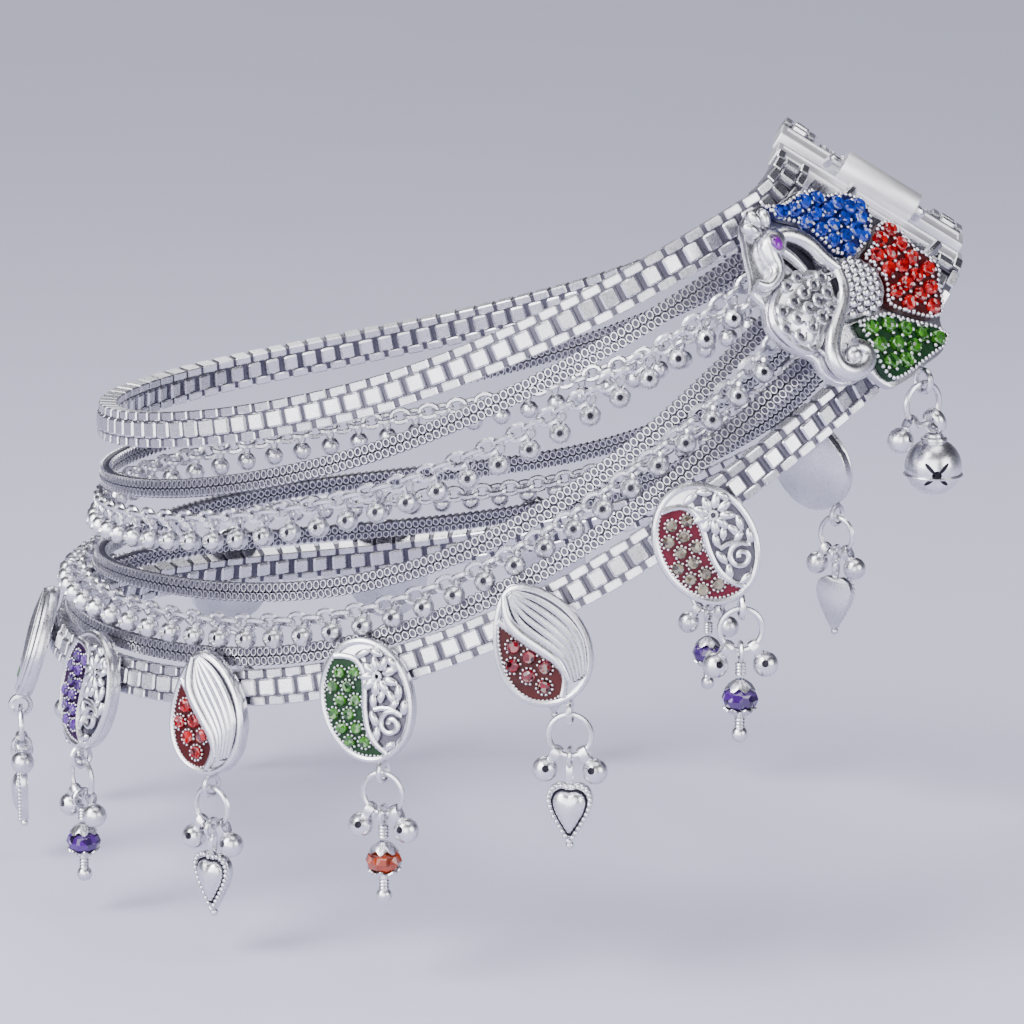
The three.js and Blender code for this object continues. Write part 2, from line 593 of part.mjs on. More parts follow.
function peacockGroup() {
  const out = PLAQUE_OUT;
  const up = PLAQUE_UP.clone().addScaledVector(out, -PLAQUE_UP.dot(out)).normalize();
  const right = up.clone().cross(out);
  const group = placedGroup(PLAQUE_CENTRE, right, up, out);
  group.add(mesh('peacock_plaque', peacock(), OXIDISED_SILVER));
  group.add(mesh('peacock_eye', eyeSolid(0, EYE.sill), PURPLE_STONE));
  group.add(mesh('feather_field_blue', featherField(BLUE_FIELD, BLUE_STONES), BLUE_STONE));
  group.add(mesh('feather_field_red', featherField(RED_FIELD, RED_STONES), RED_STONE));
  group.add(mesh('feather_field_green', featherField(GREEN_FIELD, GREEN_STONES), GREEN_STONE));
  group.updateMatrixWorld();

  const hanging = hangingGroup(PLAQUE_EYELET.clone().applyMatrix4(group.matrixWorld), out);
  hanging.add(mesh('plaque_bell_ring', jumpRing(), SILVER));
  const turn = THREE.MathUtils.degToRad(-90 - PLAQUE_BELL_TURN);
  const reach = RING_RADIUS + LARGE_BAIL_PLAY;
  hanging.add(mesh('plaque_large_bell',
    largeBell().translate(reach * Math.cos(turn), 0, reach * Math.sin(turn)), SILVER));
  return [group, hanging];
}

const anklet = new THREE.Group();
STRANDS.forEach(({ name }, index) => anklet.add(mesh(name, strandGeometry(index), SILVER)));
anklet.add(claspGroup());
anklet.add(...peacockGroup());
const lowest = new StrandRun(STRANDS.length - 1);
const lowestLength = lowest.getLength();
for (let number = 1; number <= DROP_BELOW.length; number += 1) {
  anklet.add(...dropGroup(number, lowest, lowestLength));
}

export default anklet;
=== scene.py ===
"""Payal anklet of silver chains with bells, enamelled drops and a peacock plaque.

Lengths are in millimetres while a piece is modelled, and each finished piece is scaled to metres.
"""

import logging
import math
from collections.abc import Callable, Sequence
from dataclasses import dataclass, field
from enum import Enum

import bpy
import numpy as np
from mathutils import Matrix, Vector


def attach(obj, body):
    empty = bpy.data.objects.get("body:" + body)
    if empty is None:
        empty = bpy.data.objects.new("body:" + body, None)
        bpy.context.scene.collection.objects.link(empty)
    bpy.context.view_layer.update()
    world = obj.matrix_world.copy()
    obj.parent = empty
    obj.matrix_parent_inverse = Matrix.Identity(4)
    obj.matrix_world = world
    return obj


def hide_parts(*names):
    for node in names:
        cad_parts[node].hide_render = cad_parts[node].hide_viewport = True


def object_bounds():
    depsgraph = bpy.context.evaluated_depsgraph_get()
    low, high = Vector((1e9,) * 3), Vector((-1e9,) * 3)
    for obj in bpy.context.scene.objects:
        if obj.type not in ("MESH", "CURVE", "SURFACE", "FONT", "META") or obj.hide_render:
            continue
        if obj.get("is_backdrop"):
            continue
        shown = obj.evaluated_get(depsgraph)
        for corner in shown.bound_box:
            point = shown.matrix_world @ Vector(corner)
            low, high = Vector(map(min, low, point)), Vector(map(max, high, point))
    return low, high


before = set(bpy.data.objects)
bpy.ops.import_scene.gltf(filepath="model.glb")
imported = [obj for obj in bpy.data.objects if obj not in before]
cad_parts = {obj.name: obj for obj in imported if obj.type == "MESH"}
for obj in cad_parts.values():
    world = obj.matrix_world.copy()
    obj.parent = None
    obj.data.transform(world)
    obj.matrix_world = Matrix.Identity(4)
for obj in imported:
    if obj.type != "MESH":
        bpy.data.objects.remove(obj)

MM = 0.001
UP = np.array([0.0, 0.0, 1.0])
CLEARANCE = 0.3
Point2 = tuple[float, float]
Point3 = tuple[float, float, float]
LOG = logging.getLogger("anklet")


def unit(vector: np.ndarray) -> np.ndarray:
    """Returns the vector at length one."""
    return vector / np.linalg.norm(vector)


def place_at(origin: np.ndarray, x: np.ndarray, y: np.ndarray, z: np.ndarray) -> np.ndarray:
    """Returns the matrix of a frame.

    Args:
        origin: the frame's origin in millimetres.
        x: its first axis.
        y: its second axis.
        z: its third axis.

    Returns:
        A 4 by 4 matrix.
    """
    place = np.eye(4)
    place[:3, 0], place[:3, 1], place[:3, 2], place[:3, 3] = x, y, z, origin
    return place


def local(x: float = 0.0, y: float = 0.0, z: float = 0.0, turn: Point3 = (0, 0, 0)) -> np.ndarray:
    """Returns a matrix that turns about X, Y and Z, in degrees, and then moves.

    Args:
        x: move along X.
        y: move along Y.
        z: move along Z.
        turn: the three turns in degrees.

    Returns:
        A 4 by 4 matrix.
    """
    angles = [math.radians(angle) for angle in turn]
    turned = Matrix.Rotation(angles[2], 4, "Z") @ Matrix.Rotation(angles[1], 4, "Y")
    turned = turned @ Matrix.Rotation(angles[0], 4, "X")
    return np.array(Matrix.Translation((x, y, z)) @ turned)


# A flat piece is drawn with x to the viewer's right, y up and z out. This stands it up in a hanging
# frame, where x is to the viewer's left, y out and z up.
STAND_UP = np.array([[-1, 0, 0, 0], [0, 0, 1, 0], [0, 1, 0, 0], [0, 0, 0, 1.0]])


# Finishes


def linear(colour: str) -> tuple[float, float, float, float]:
    """Turns an sRGB hex colour into linear red, green, blue and alpha.

    Args:
        colour: six hex digits.

    Returns:
        The linear colour.
    """
    parts = [int(colour[i : i + 2], 16) / 255 for i in (0, 2, 4)]
    red, green, blue = [p / 12.92 if p <= 0.04045 else ((p + 0.055) / 1.055) ** 2.4 for p in parts]
    return red, green, blue, 1.0


def add_node(tree: bpy.types.NodeTree, kind: str, settings: dict, inputs: dict) -> bpy.types.Node:
    """Adds a shader node with its settings and links.

    Args:
        tree: the material's or world's node tree.
        kind: the node's type.
        settings: values of its properties.
        inputs: for each socket, a value or the socket that feeds it.

    Returns:
        The new node.
    """
    node = tree.nodes.new(kind)
    for name, value in settings.items():
        setattr(node, name, value)
    for name, value in inputs.items():
        if isinstance(value, bpy.types.NodeSocket):
            tree.links.new(value, node.inputs[name])
        else:
            node.inputs[name].default_value = value
    return node


def blank_material(name: str) -> tuple[bpy.types.Material, bpy.types.NodeTree, bpy.types.Node]:
    """Returns a new material, its node tree and its Principled shader.

    Args:
        name: its name.

    Returns:
        The material, its node tree and its shader.
    """
    material = bpy.data.materials.new(name)
    material.use_nodes = True
    return material, material.node_tree, material.node_tree.nodes["Principled BSDF"]


@dataclass(frozen=True)
class Silver:
    """Cast or drawn silver, barrelled bright: pale, with a soft haze and shallow pits of the polish.

    Attributes:
        name: the material's name.
        bright: colour of the polished parts.
        dull: colour of the parts that polishing missed.
        roughness: typical roughness.
        grain: size of the polish marks in millimetres, coarser than real ones so that they show.
        depth: strength of the marks.
        haze: size of the haze, in marks.
        gloss: least and greatest share of the roughness.
        relief: height of the marks in millimetres.
    """

    name: str
    bright: str
    dull: str
    roughness: float
    grain: float
    depth: float
    haze: float = 8.0
    gloss: Point2 = (0.7, 1.4)
    relief: float = 0.05

    def material(self) -> bpy.types.Material:
        """Returns the metal with its haze and polish marks.

        Returns:
            The material.
        """
        material, tree, shader = blank_material(self.name)
        place = add_node(tree, "ShaderNodeTexCoord", {}, {}).outputs["Object"]
        size = self.grain * MM
        wide = {"Vector": place, "Scale": 1 / (self.haze * size), "Detail": 3.0}
        haze = add_node(tree, "ShaderNodeTexNoise", {}, wide).outputs["Fac"]
        fine = {"Vector": place, "Scale": 1 / size, "Detail": 4.0}
        marks = add_node(tree, "ShaderNodeTexNoise", {}, fine).outputs["Fac"]
        colours = {0: haze, 6: linear(self.bright), 7: linear(self.dull)}
        tint = add_node(tree, "ShaderNodeMix", {"data_type": "RGBA"}, colours)
        low, high = (share * self.roughness for share in self.gloss)
        gloss = add_node(
            tree, "ShaderNodeMapRange", {}, {"Value": marks, "To Min": low, "To Max": high}
        )
        relief = {"Height": marks, "Strength": self.depth, "Distance": self.relief * MM}
        bump = add_node(tree, "ShaderNodeBump", {}, relief)
        tree.links.new(tint.outputs[2], shader.inputs["Base Color"])
        tree.links.new(gloss.outputs[0], shader.inputs["Roughness"])
        tree.links.new(bump.outputs[0], shader.inputs["Normal"])
        shader.inputs["Metallic"].default_value = 1.0
        return material


@dataclass(frozen=True)
class Stone:
    """Cut cubic zirconia or glass, with painted flashes: each facet below the crown is painted at
    random between a light glint and a dark shade.

    Attributes:
        name: the material's name.
        light: painted glint, the colour of a facet that flashes.
        deep: painted shade, the colour of a facet that lies dark.
        facet: size of the facets in millimetres, coarser than real ones so that they show.
        sparkle: how far the facets tilt apart.
        roughness: that of a polished stone.
        ior: between those of glass and zirconia.
        specular: share of the mirror gloss, low because a stone this small shows little of it.
    """

    name: str
    light: str
    deep: str
    facet: float = 0.45
    sparkle: float = 0.9
    roughness: float = 0.04
    ior: float = 1.9
    specular: float = 0.35

    def material(self) -> bpy.types.Material:
        """Returns the stone with its pattern of facets painted light and dark as flashes.

        Returns:
            The material.
        """
        material, tree, shader = blank_material(self.name)
        place = add_node(tree, "ShaderNodeTexCoord", {}, {}).outputs["Object"]
        size = {"Vector": place, "Scale": 1 / (self.facet * MM)}
        # Painted glints and shade: each facet's cell colour paints it between deep and light
        cells = add_node(tree, "ShaderNodeTexVoronoi", {}, size).outputs["Color"]
        flash = add_node(tree, "ShaderNodeSeparateColor", {}, {"Color": cells})
        colours = {0: flash.outputs[0], 6: linear(self.deep), 7: linear(self.light)}
        tint = add_node(tree, "ShaderNodeMix", {"data_type": "RGBA"}, colours)
        surface = add_node(tree, "ShaderNodeNewGeometry", {}, {}).outputs["Normal"]
        steps = (
            ("SUBTRACT", {0: cells, 1: (0.5, 0.5, 0.5)}),
            ("SCALE", {"Scale": self.sparkle}),
            ("ADD", {1: surface}),
            ("NORMALIZE", {}),
        )
        tilt = cells
        for operation, inputs in steps:
            settings = {"operation": operation}
            tilt = add_node(tree, "ShaderNodeVectorMath", settings, {0: tilt} | inputs).outputs[0]
        tree.links.new(tint.outputs[2], shader.inputs["Base Color"])
        tree.links.new(tilt, shader.inputs["Normal"])
        shader.inputs["Roughness"].default_value = self.roughness
        shader.inputs["IOR"].default_value = self.ior
        shader.inputs["Specular IOR Level"].default_value = self.specular
        return material


@dataclass(frozen=True)
class Enamel:
    """Kiln fired glass enamel in a sunk field: deep colour under a soft gloss, a little uneven.

    Attributes:
        name: the material's name.
        colour: its main colour.
        shade: the colour where it pools.
        pool: size of the pools in millimetres.
        ripple: strength of the ripples and their height in millimetres.
        roughness: that of enamel dulled by wear.
        ior: that of glass enamel.
        specular: share of the mirror gloss.
    """

    name: str
    colour: str
    shade: str
    pool: float = 2.5
    ripple: Point2 = (0.5, 0.3)
    roughness: float = 0.4
    ior: float = 1.48
    specular: float = 0.25

    def material(self) -> bpy.types.Material:
        """Returns the enamel with its pools and ripples.

        Returns:
            The material.
        """
        material, tree, shader = blank_material(self.name)
        place = add_node(tree, "ShaderNodeTexCoord", {}, {}).outputs["Object"]
        size = {"Vector": place, "Scale": 1 / (self.pool * MM), "Detail": 2.0}
        pools = add_node(tree, "ShaderNodeTexNoise", {}, size).outputs["Fac"]
        colours = {0: pools, 6: linear(self.colour), 7: linear(self.shade)}
        tint = add_node(tree, "ShaderNodeMix", {"data_type": "RGBA"}, colours)
        strength, height = self.ripple
        relief = {"Height": pools, "Strength": strength, "Distance": height * MM}
        ripple = add_node(tree, "ShaderNodeBump", {}, relief)
        tree.links.new(tint.outputs[2], shader.inputs["Base Color"])
        tree.links.new(ripple.outputs[0], shader.inputs["Normal"])
        shader.inputs["Roughness"].default_value = self.roughness
        shader.inputs["IOR"].default_value = self.ior
        shader.inputs["Specular IOR Level"].default_value = self.specular
        return material


class Hue(Enum):
    """Colours of stones and enamel, each with its material slot in the record."""

    BLUE = "blue_stone"
    RED = "red_stone"
    GREEN = "green_stone"
    PURPLE = "purple_stone"


class Finishes:
    """All materials of the anklet, made once."""

    def __init__(self) -> None:
        """Makes the materials."""
        # Drawn silver of links, rings and bells, barrelled: nearly white, with a soft mirror
        self.silver = Silver("polished_silver", "ECEBF0", "C2C1C9", 0.27, 0.35, 0.2).material()
        # Rolled sheet of the clasp, brushed: white and matt
        self.satin = Silver("satin_silver", "F4F3F7", "DEDDE4", 0.5, 0.18, 0.3).material()
        # Cast silver of plaques: a little greyer, with fine pits
        self.cast = Silver("cast_silver", "EAE9EE", "BAB9C2", 0.24, 0.45, 0.4).material()
        # Painted shade: grey silver, and near black silver, that stand in for the shade in hollows,
        # gaps and holes where little light reaches
        self.shade = Silver("shade_painted_silver", "6A6874", "403E4A", 0.4, 0.4, 0.4).material()
        self.dark = Silver("deep_shade_painted_silver", "33313A", "17161C", 0.42, 0.4, 0.4).material()
        # Cut zirconia of the feathers and drops: deep colour with painted bright flashes as glints
        self.stones = {
            Hue.BLUE: Stone("blue_zirconia", "1838A4", "00083E").material(),
            Hue.RED: Stone("red_zirconia", "AE0004", "3A0002").material(),
            Hue.GREEN: Stone("green_zirconia", "3A7A16", "042408").material(),
            Hue.PURPLE: Stone("violet_zirconia", "5E2E96", "12042C").material(),
        }
        # Fired enamel under the stones: the darkest tone of each field
        self.enamels = {
            Hue.BLUE: Enamel("blue_enamel", "060F5C", "02062E").material(),
            Hue.RED: Enamel("red_enamel", "4A0106", "1E0003").material(),
            Hue.GREEN: Enamel("green_enamel", "053815", "021A09").material(),
            Hue.PURPLE: Enamel("violet_enamel", "2E0A3C", "120318").material(),
        }
        # Magenta enamel, grey brown stones and dark wine red stones of single drops
        self.ruby_enamel = Enamel("magenta_enamel", "6A0228", "30020E").material()
        self.smoky = Stone("smoky_zirconia", "8E8474", "20130C").material()
        self.garnet = Stone("garnet", "7C0E1E", "180104").material()
        # Faceted glass of the beads, and the bird's eye: large facets, a few of them painted bright as
        # glints
        self.purple_bead = Stone("violet_glass", "4E2280", "0C041E", 1.1, 0.5).material()
        self.orange_bead = Stone("amber_glass", "A03404", "3E1001", 1.1, 0.5).material()
        self.eye = Stone("amethyst", "7E0AA6", "28033A", 0.8, 0.3).material()


# Modelling with Blender's own tools


def clear_selection() -> None:
    """Leaves edit mode and deselects every object."""
    if bpy.context.mode != "OBJECT":
        bpy.ops.object.mode_set(mode="OBJECT")
    bpy.ops.object.select_all(action="DESELECT")


def settled(piece: bpy.types.Object, place: np.ndarray | None = None) -> bpy.types.Object:
    """Puts an object's transform, and then an extra place, into its mesh.

    Args:
        piece: the object.
        place: a 4 by 4 matrix, or None.

    Returns:
        The same object, at the origin.
    """
    bpy.context.view_layer.update()
    piece.data.transform(piece.matrix_world)
    piece.matrix_world = Matrix()
    if place is not None:
        piece.data.transform(Matrix(place.tolist()))
    return piece


def painted(piece: bpy.types.Object, material: bpy.types.Material) -> bpy.types.Object:
    """Gives the whole piece one material.

    Args:
        piece: the object.
        material: its only material.

    Returns:
        The same object.
    """
    piece.data.materials.clear()
    piece.data.materials.append(material)
    return piece


def select_faces(piece: bpy.types.Object, wanted: Callable[[Vector, Vector], bool]) -> None:
    """Selects the faces of a piece by their centre and normal, and leaves it in edit mode.

    Args:
        piece: the object.
        wanted: a test of a face's centre and normal.
    """
    clear_selection()
    piece.select_set(True)
    bpy.context.view_layer.objects.active = piece
    bpy.ops.object.mode_set(mode="EDIT")
    bpy.ops.mesh.select_mode(type="FACE")
    bpy.ops.mesh.select_all(action="DESELECT")
    bpy.ops.object.mode_set(mode="OBJECT")
    for face in piece.data.polygons:
        face.select = bool(wanted(face.center, face.normal))
    bpy.ops.object.mode_set(mode="EDIT")


def paint_selected(piece: bpy.types.Object, material: bpy.types.Material) -> None:
    """Gives the faces selected in edit mode another material, and leaves edit mode.

    Args:
        piece: the object.
        material: the faces' new material.
    """
    bpy.ops.object.mode_set(mode="OBJECT")
    piece.data.materials.append(material)
    last = len(piece.data.materials) - 1
    for face in piece.data.polygons:
        if face.select:
            face.material_index = last


def with_modifier(piece: bpy.types.Object, kind: str, **settings: float) -> bpy.types.Object:
    """Adds a modifier and applies it.

    Args:
        piece: the object.
        kind: the modifier's type.
        settings: its properties.

    Returns:
        The same object.
    """
    clear_selection()
    piece.select_set(True)
    bpy.context.view_layer.objects.active = piece
    modifier = piece.modifiers.new(kind.lower(), kind)
    for name, value in settings.items():
        setattr(modifier, name, value)
    bpy.ops.object.modifier_apply(modifier=modifier.name)
    return piece


def block(size: Point3, centre: Point3, bevel: float, segments: int = 1) -> bpy.types.Object:
    """A bevelled block.

    Args:
        size: its three lengths.
        centre: its middle.
        bevel: width of the bevel.
        segments: steps of the bevel.

    Returns:
        The object.
    """
    clear_selection()
    bpy.ops.mesh.primitive_cube_add(size=1, location=centre, scale=size)
    piece = settled(bpy.context.object)
    return with_modifier(piece, "BEVEL", width=bevel, segments=segments)


def ring(radius: float, wire: float, around: int, sides: int, place: np.ndarray) -> bpy.types.Object:
    """A round ring of wire.

    Args:
        radius: radius of the wire's middle line.
        wire: radius of the wire.
        around: faces round the ring.
        sides: faces round the wire.
        place: where it lies, flat in its own XY.

    Returns:
        The object.
    """
    clear_selection()
    bpy.ops.mesh.primitive_torus_add(
        major_radius=radius, minor_radius=wire, major_segments=around, minor_segments=sides
    )
    return settled(bpy.context.object, place)


def ball(radius: float, segments: int, rings: int, place: np.ndarray) -> bpy.types.Object:
    """A plain ball, the start of bells and beads.

    Args:
        radius: its radius.
        segments: faces round it.
        rings: faces from pole to pole.
        place: where it goes.

    Returns:
        The object.
    """
    clear_selection()
    bpy.ops.mesh.primitive_uv_sphere_add(segments=segments, ring_count=rings, radius=radius)
    return settled(bpy.context.object, place)


def scaled(x: float, y: float, z: float) -> np.ndarray:
    """Returns the matrix of a stretch along the axes."""
    return np.diag([x, y, z, 1.0])


def holed_ball(
    radius: float, hole: float, segments: int, rings: int, finishes: tuple[bpy.types.Material, ...]
) -> bpy.types.Object:
    """A rattle ball with a hole at its +Z pole, painted dark as the shade inside.

    Args:
        radius: the ball's radius.
        hole: the hole's radius.
        segments: faces round the ball.
        rings: faces from pole to pole.
        finishes: the metal outside, and the dark metal painted in the hole as shade.

    Returns:
        The object, centred on the origin.
    """
    bell = painted(ball(radius, segments, rings, np.eye(4)), finishes[0])
    rim = radius * math.sin(math.pi / rings)
    select_faces(bell, lambda centre, _: centre.z > radius * math.cos(math.pi / rings))
    bpy.ops.mesh.inset(thickness=rim - hole, depth=0.0)
    bpy.ops.transform.translate(value=(0, 0, -0.35 * radius))
    # Painted shade: the sunk faces of the hole are painted dark, as the shade inside the ball
    paint_selected(bell, finishes[1])
    return bell


def shaped_disc(points: Sequence[Point2], height: float) -> bpy.types.Object:
    """A flat face whose rim follows an outline, left in edit mode with all of it selected.

    Args:
        points: the outline, anticlockwise.
        height: its z.

    Returns:
        The object.
    """
    clear_selection()
    bpy.ops.mesh.primitive_circle_add(vertices=len(points), radius=1, fill_type="NGON")
    disc = bpy.context.object
    for vertex, (x, y) in zip(disc.data.vertices, points, strict=True):
        vertex.co = (x, y, height)
    bpy.ops.object.mode_set(mode="EDIT")
    bpy.ops.mesh.select_all(action="SELECT")
    return disc


def plate(points: Sequence[Point2], bottom: float, top: float, bevel: float = 0.0) -> bpy.types.Object:
    """A flat plate with an outline.

    Args:
        points: the outline.
        bottom: its lower z.
        top: its upper z.
        bevel: width of the bevel along its edges, or 0.

    Returns:
        The object.
    """
    piece = shaped_disc(points, bottom)
    bpy.ops.mesh.extrude_region_move(TRANSFORM_OT_translate={"value": (0, 0, top - bottom)})
    bpy.ops.mesh.select_all(action="SELECT")
    bpy.ops.mesh.normals_make_consistent(inside=False)
    clear_selection()
    if bevel > 0:
        with_modifier(piece, "BEVEL", width=bevel, segments=2, limit_method="ANGLE")
    return piece


def dome(
    points: Sequence[Point2], bottom: float, shoulder: float, crown: float, steps: int = 5
) -> bpy.types.Object:
    """A plate whose top swells into a dome.

    Args:
        points: the outline.
        bottom: its lower z.
        shoulder: the z where the dome starts.
        crown: the height of the dome over the shoulder.
        steps: rings of faces in the dome.

    Returns:
        The object.
    """
    middle = tuple(np.mean(points, axis=0)) + (0.0,)
    piece = shaped_disc(points, bottom)
    bpy.ops.mesh.extrude_region_move(TRANSFORM_OT_translate={"value": (0, 0, shoulder - bottom)})
    size, level = 1.0, 0.0
    for step in range(1, steps + 1):
        turn = 0.5 * math.pi * step / (steps + 0.4)
        bpy.ops.mesh.extrude_region_move(
            TRANSFORM_OT_translate={"value": (0, 0, crown * (math.sin(turn) - level))}
        )
        shrink = math.cos(turn) / size
        bpy.ops.transform.resize(value=(shrink, shrink, 1), center_override=middle)
        size, level = math.cos(turn), math.sin(turn)
    bpy.ops.mesh.select_all(action="SELECT")
    bpy.ops.mesh.normals_make_consistent(inside=False)
    clear_selection()
    return piece


def wire(
    points: Sequence[Point3],
    radius: float,
    swell: Callable[[float], float] = lambda _: 1.0,
    closed: bool = False,
    sides: int = 1,
    detail: int = 3,
) -> bpy.types.Object:
    """A bent wire through points, as a mesh.

    Args:
        points: points of its middle line.
        radius: its radius.
        swell: how thick it is, over its length from 0 to 1.
        closed: whether it closes on itself.
        sides: fineness round the wire.
        detail: faces between two points.

    Returns:
        The object.
    """
    clear_selection()
    curve = bpy.data.curves.new("wire", "CURVE")
    curve.dimensions = "3D"
    curve.bevel_depth = radius
    curve.bevel_resolution = sides
    curve.resolution_u = detail
    curve.use_fill_caps = True
    spline = curve.splines.new("NURBS")
    spline.points.add(len(points) - 1)
    for i, point in enumerate(points):
        spline.points[i].co = (*point, 1.0)
        spline.points[i].radius = swell(i / (len(points) - 1))
    spline.order_u = 3
    spline.use_endpoint_u = not closed
    spline.use_cyclic_u = closed
    piece = bpy.data.objects.new("wire", curve)
    bpy.context.collection.objects.link(piece)
    piece.select_set(True)
    bpy.context.view_layer.objects.active = piece
    bpy.ops.object.convert(target="MESH")
    return bpy.context.object


def joined(name: str, parts: Sequence[bpy.types.Object]) -> bpy.types.Object:
    """Joins parts into one object.

    Args:
        name: the new name.
        parts: the objects, of which the first one is kept.

    Returns:
        The joined object.
    """
    clear_selection()
    for part in parts:
        part.select_set(True)
    bpy.context.view_layer.objects.active = parts[0]
    if len(parts) > 1:
        bpy.ops.object.join()
    parts[0].name = name
    return parts[0]


def repeated(
    pattern: bpy.types.Object, places: Sequence[np.ndarray], name: str, keep: bool = False
) -> bpy.types.Object:
    """Copies a modelled pattern to many places, as one mesh.

    Args:
        pattern: the object to copy.
        places: a 4 by 4 matrix for each copy.
        name: the new object's name.
        keep: whether the pattern is used again.

    Returns:
        The new object.
    """
    mesh = pattern.data
    points = np.empty(3 * len(mesh.vertices))
    mesh.vertices.foreach_get("co", points)
    points = np.c_[points.reshape(-1, 3), np.ones(len(mesh.vertices))]
    corners = np.empty(len(mesh.loops), dtype=int)
    mesh.loops.foreach_get("vertex_index", corners)
    starts = np.empty(len(mesh.polygons), dtype=int)
    mesh.polygons.foreach_get("loop_start", starts)
    slots = np.empty(len(mesh.polygons), dtype=int)
    mesh.polygons.foreach_get("material_index", slots)
    copies = np.arange(len(places))[:, None]
    all_points = np.einsum("nij,vj->nvi", np.array(places)[:, :3, :], points)
    copy = bpy.data.meshes.new(name)
    copy.vertices.add(len(places) * len(points))
    copy.loops.add(len(places) * len(corners))
    copy.polygons.add(len(places) * len(starts))
    copy.vertices.foreach_set("co", all_points.ravel())
    copy.loops.foreach_set("vertex_index", (corners + copies * len(points)).ravel())
    copy.polygons.foreach_set("loop_start", (starts + copies * len(corners)).ravel())
    copy.polygons.foreach_set("material_index", np.tile(slots, len(places)))
    for material in mesh.materials:
        copy.materials.append(material)
    copy.update(calc_edges=True)
    copy.validate()
    piece = bpy.data.objects.new(name, copy)
    bpy.context.collection.objects.link(piece)
    if not keep:
        bpy.data.objects.remove(pattern)
    return piece


def finished(
    piece: bpy.types.Object, name: str, nodes: Sequence[str] = (), smooth: float = 38.0
) -> bpy.types.Object:
    """Scales a piece to metres, smooths it and hands it to the frame.

    Args:
        piece: the modelled object, in millimetres.
        name: its name.
        nodes: the CAD nodes that it stands for.
        smooth: the sharpest angle, in degrees, that is still shaded smooth.

    Returns:
        The finished object.
    """
    piece.data.transform(Matrix.Scale(MM, 4))
    piece.name = piece.data.name = name
    clear_selection()
    piece.select_set(True)
    bpy.context.view_layer.objects.active = piece
    bpy.ops.object.shade_smooth_by_angle(angle=math.radians(smooth))
    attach(piece, "root")
    if nodes:
        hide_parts(*nodes)
    LOG.info("%s: %d faces", name, len(piece.data.polygons))
    return piece


# Outlines


def ellipse(half_width: float, half_height: float, count: int) -> list[Point2]:
    """Points of an ellipse, anticlockwise."""
    turns = [2 * math.pi * i / count for i in range(count)]
    return [(half_width * math.cos(turn), half_height * math.sin(turn)) for turn in turns]


def smoothed(points: Sequence[Point2], times: int = 1) -> list[Point2]:
    """Rounds a closed outline by cutting its corners.

    Args:
        points: the outline.
        times: how often its corners are cut.

    Returns:
        The rounder outline.
    """
    near, far = 0.8, 0.2
    for _ in range(times):
        cut = []
        for (x1, y1), (x2, y2) in zip(points, [*points[1:], points[0]], strict=True):
            cut.append((near * x1 + far * x2, near * y1 + far * y2))
            cut.append((far * x1 + near * x2, far * y1 + near * y2))
        points = cut
    return list(points)


def along_outline(points: Sequence[Point2], pitch: float, inset: float) -> list[Point2]:
    """Points at an even pitch along a closed outline, a little inside it.

    Args:
        points: the outline, anticlockwise.
        pitch: the distance between them.
        inset: how far inside they lie.

    Returns:
        The points.
    """
    ring_points = np.array([*points, points[0]])
    steps = np.linalg.norm(np.diff(ring_points, axis=0), axis=1)
    reach = np.r_[0, np.cumsum(steps)]
    count = max(3, round(reach[-1] / pitch))
    spots = []
    for distance in np.arange(count) * reach[-1] / count:
        i = min(int(np.searchsorted(reach, distance, side="right")) - 1, len(steps) - 1)
        direction = (ring_points[i + 1] - ring_points[i]) / steps[i]
        spot = ring_points[i] + direction * (distance - reach[i])
        spots.append((spot[0] - direction[1] * inset, spot[1] + direction[0] * inset))
    return spots


def is_inside(x: float, y: float, points: Sequence[Point2]) -> bool:
    """Tells whether a point lies inside a closed outline.

    Args:
        x: the point's x.
        y: the point's y.
        points: the outline.

    Returns:
        True for a point inside.
    """
    inside = False
    for (x1, y1), (x2, y2) in zip(points, [*points[1:], points[0]], strict=True):
        if (y1 > y) != (y2 > y) and x < (x2 - x1) * (y - y1) / (y2 - y1) + x1:
            inside = not inside
    return inside


# The strands' run round the ankle


@dataclass(frozen=True)
class EndPlates:
    """Place and size of the two bars that hold the strands' ends."""

    top: Point3 = (40.15, -7.25, 46.3)
    bottom: Point3 = (57.25, -1.85, 35.4)
    width: float = 4.2
    thickness: float = 2.2
    overhang: float = 2.3
    gap: float = 8.0

    @property
    def along(self) -> np.ndarray:
        """Direction along the bars, downwards."""
        return unit(np.array(self.bottom) - np.array(self.top))

    @property
    def across(self) -> np.ndarray:
        """Direction across the bars, to the far side."""
        y_axis = np.array([0.0, 1.0, 0.0])
        return unit(y_axis - self.along * self.along[1])

    @property
    def out(self) -> np.ndarray:
        """Direction away from the ankle."""
        return np.cross(self.along, self.across)

    @property
    def length(self) -> float:
        """Distance between the first and the last strand's seat line."""
        return float(np.linalg.norm(np.array(self.bottom) - np.array(self.top)))


PLATES = EndPlates()


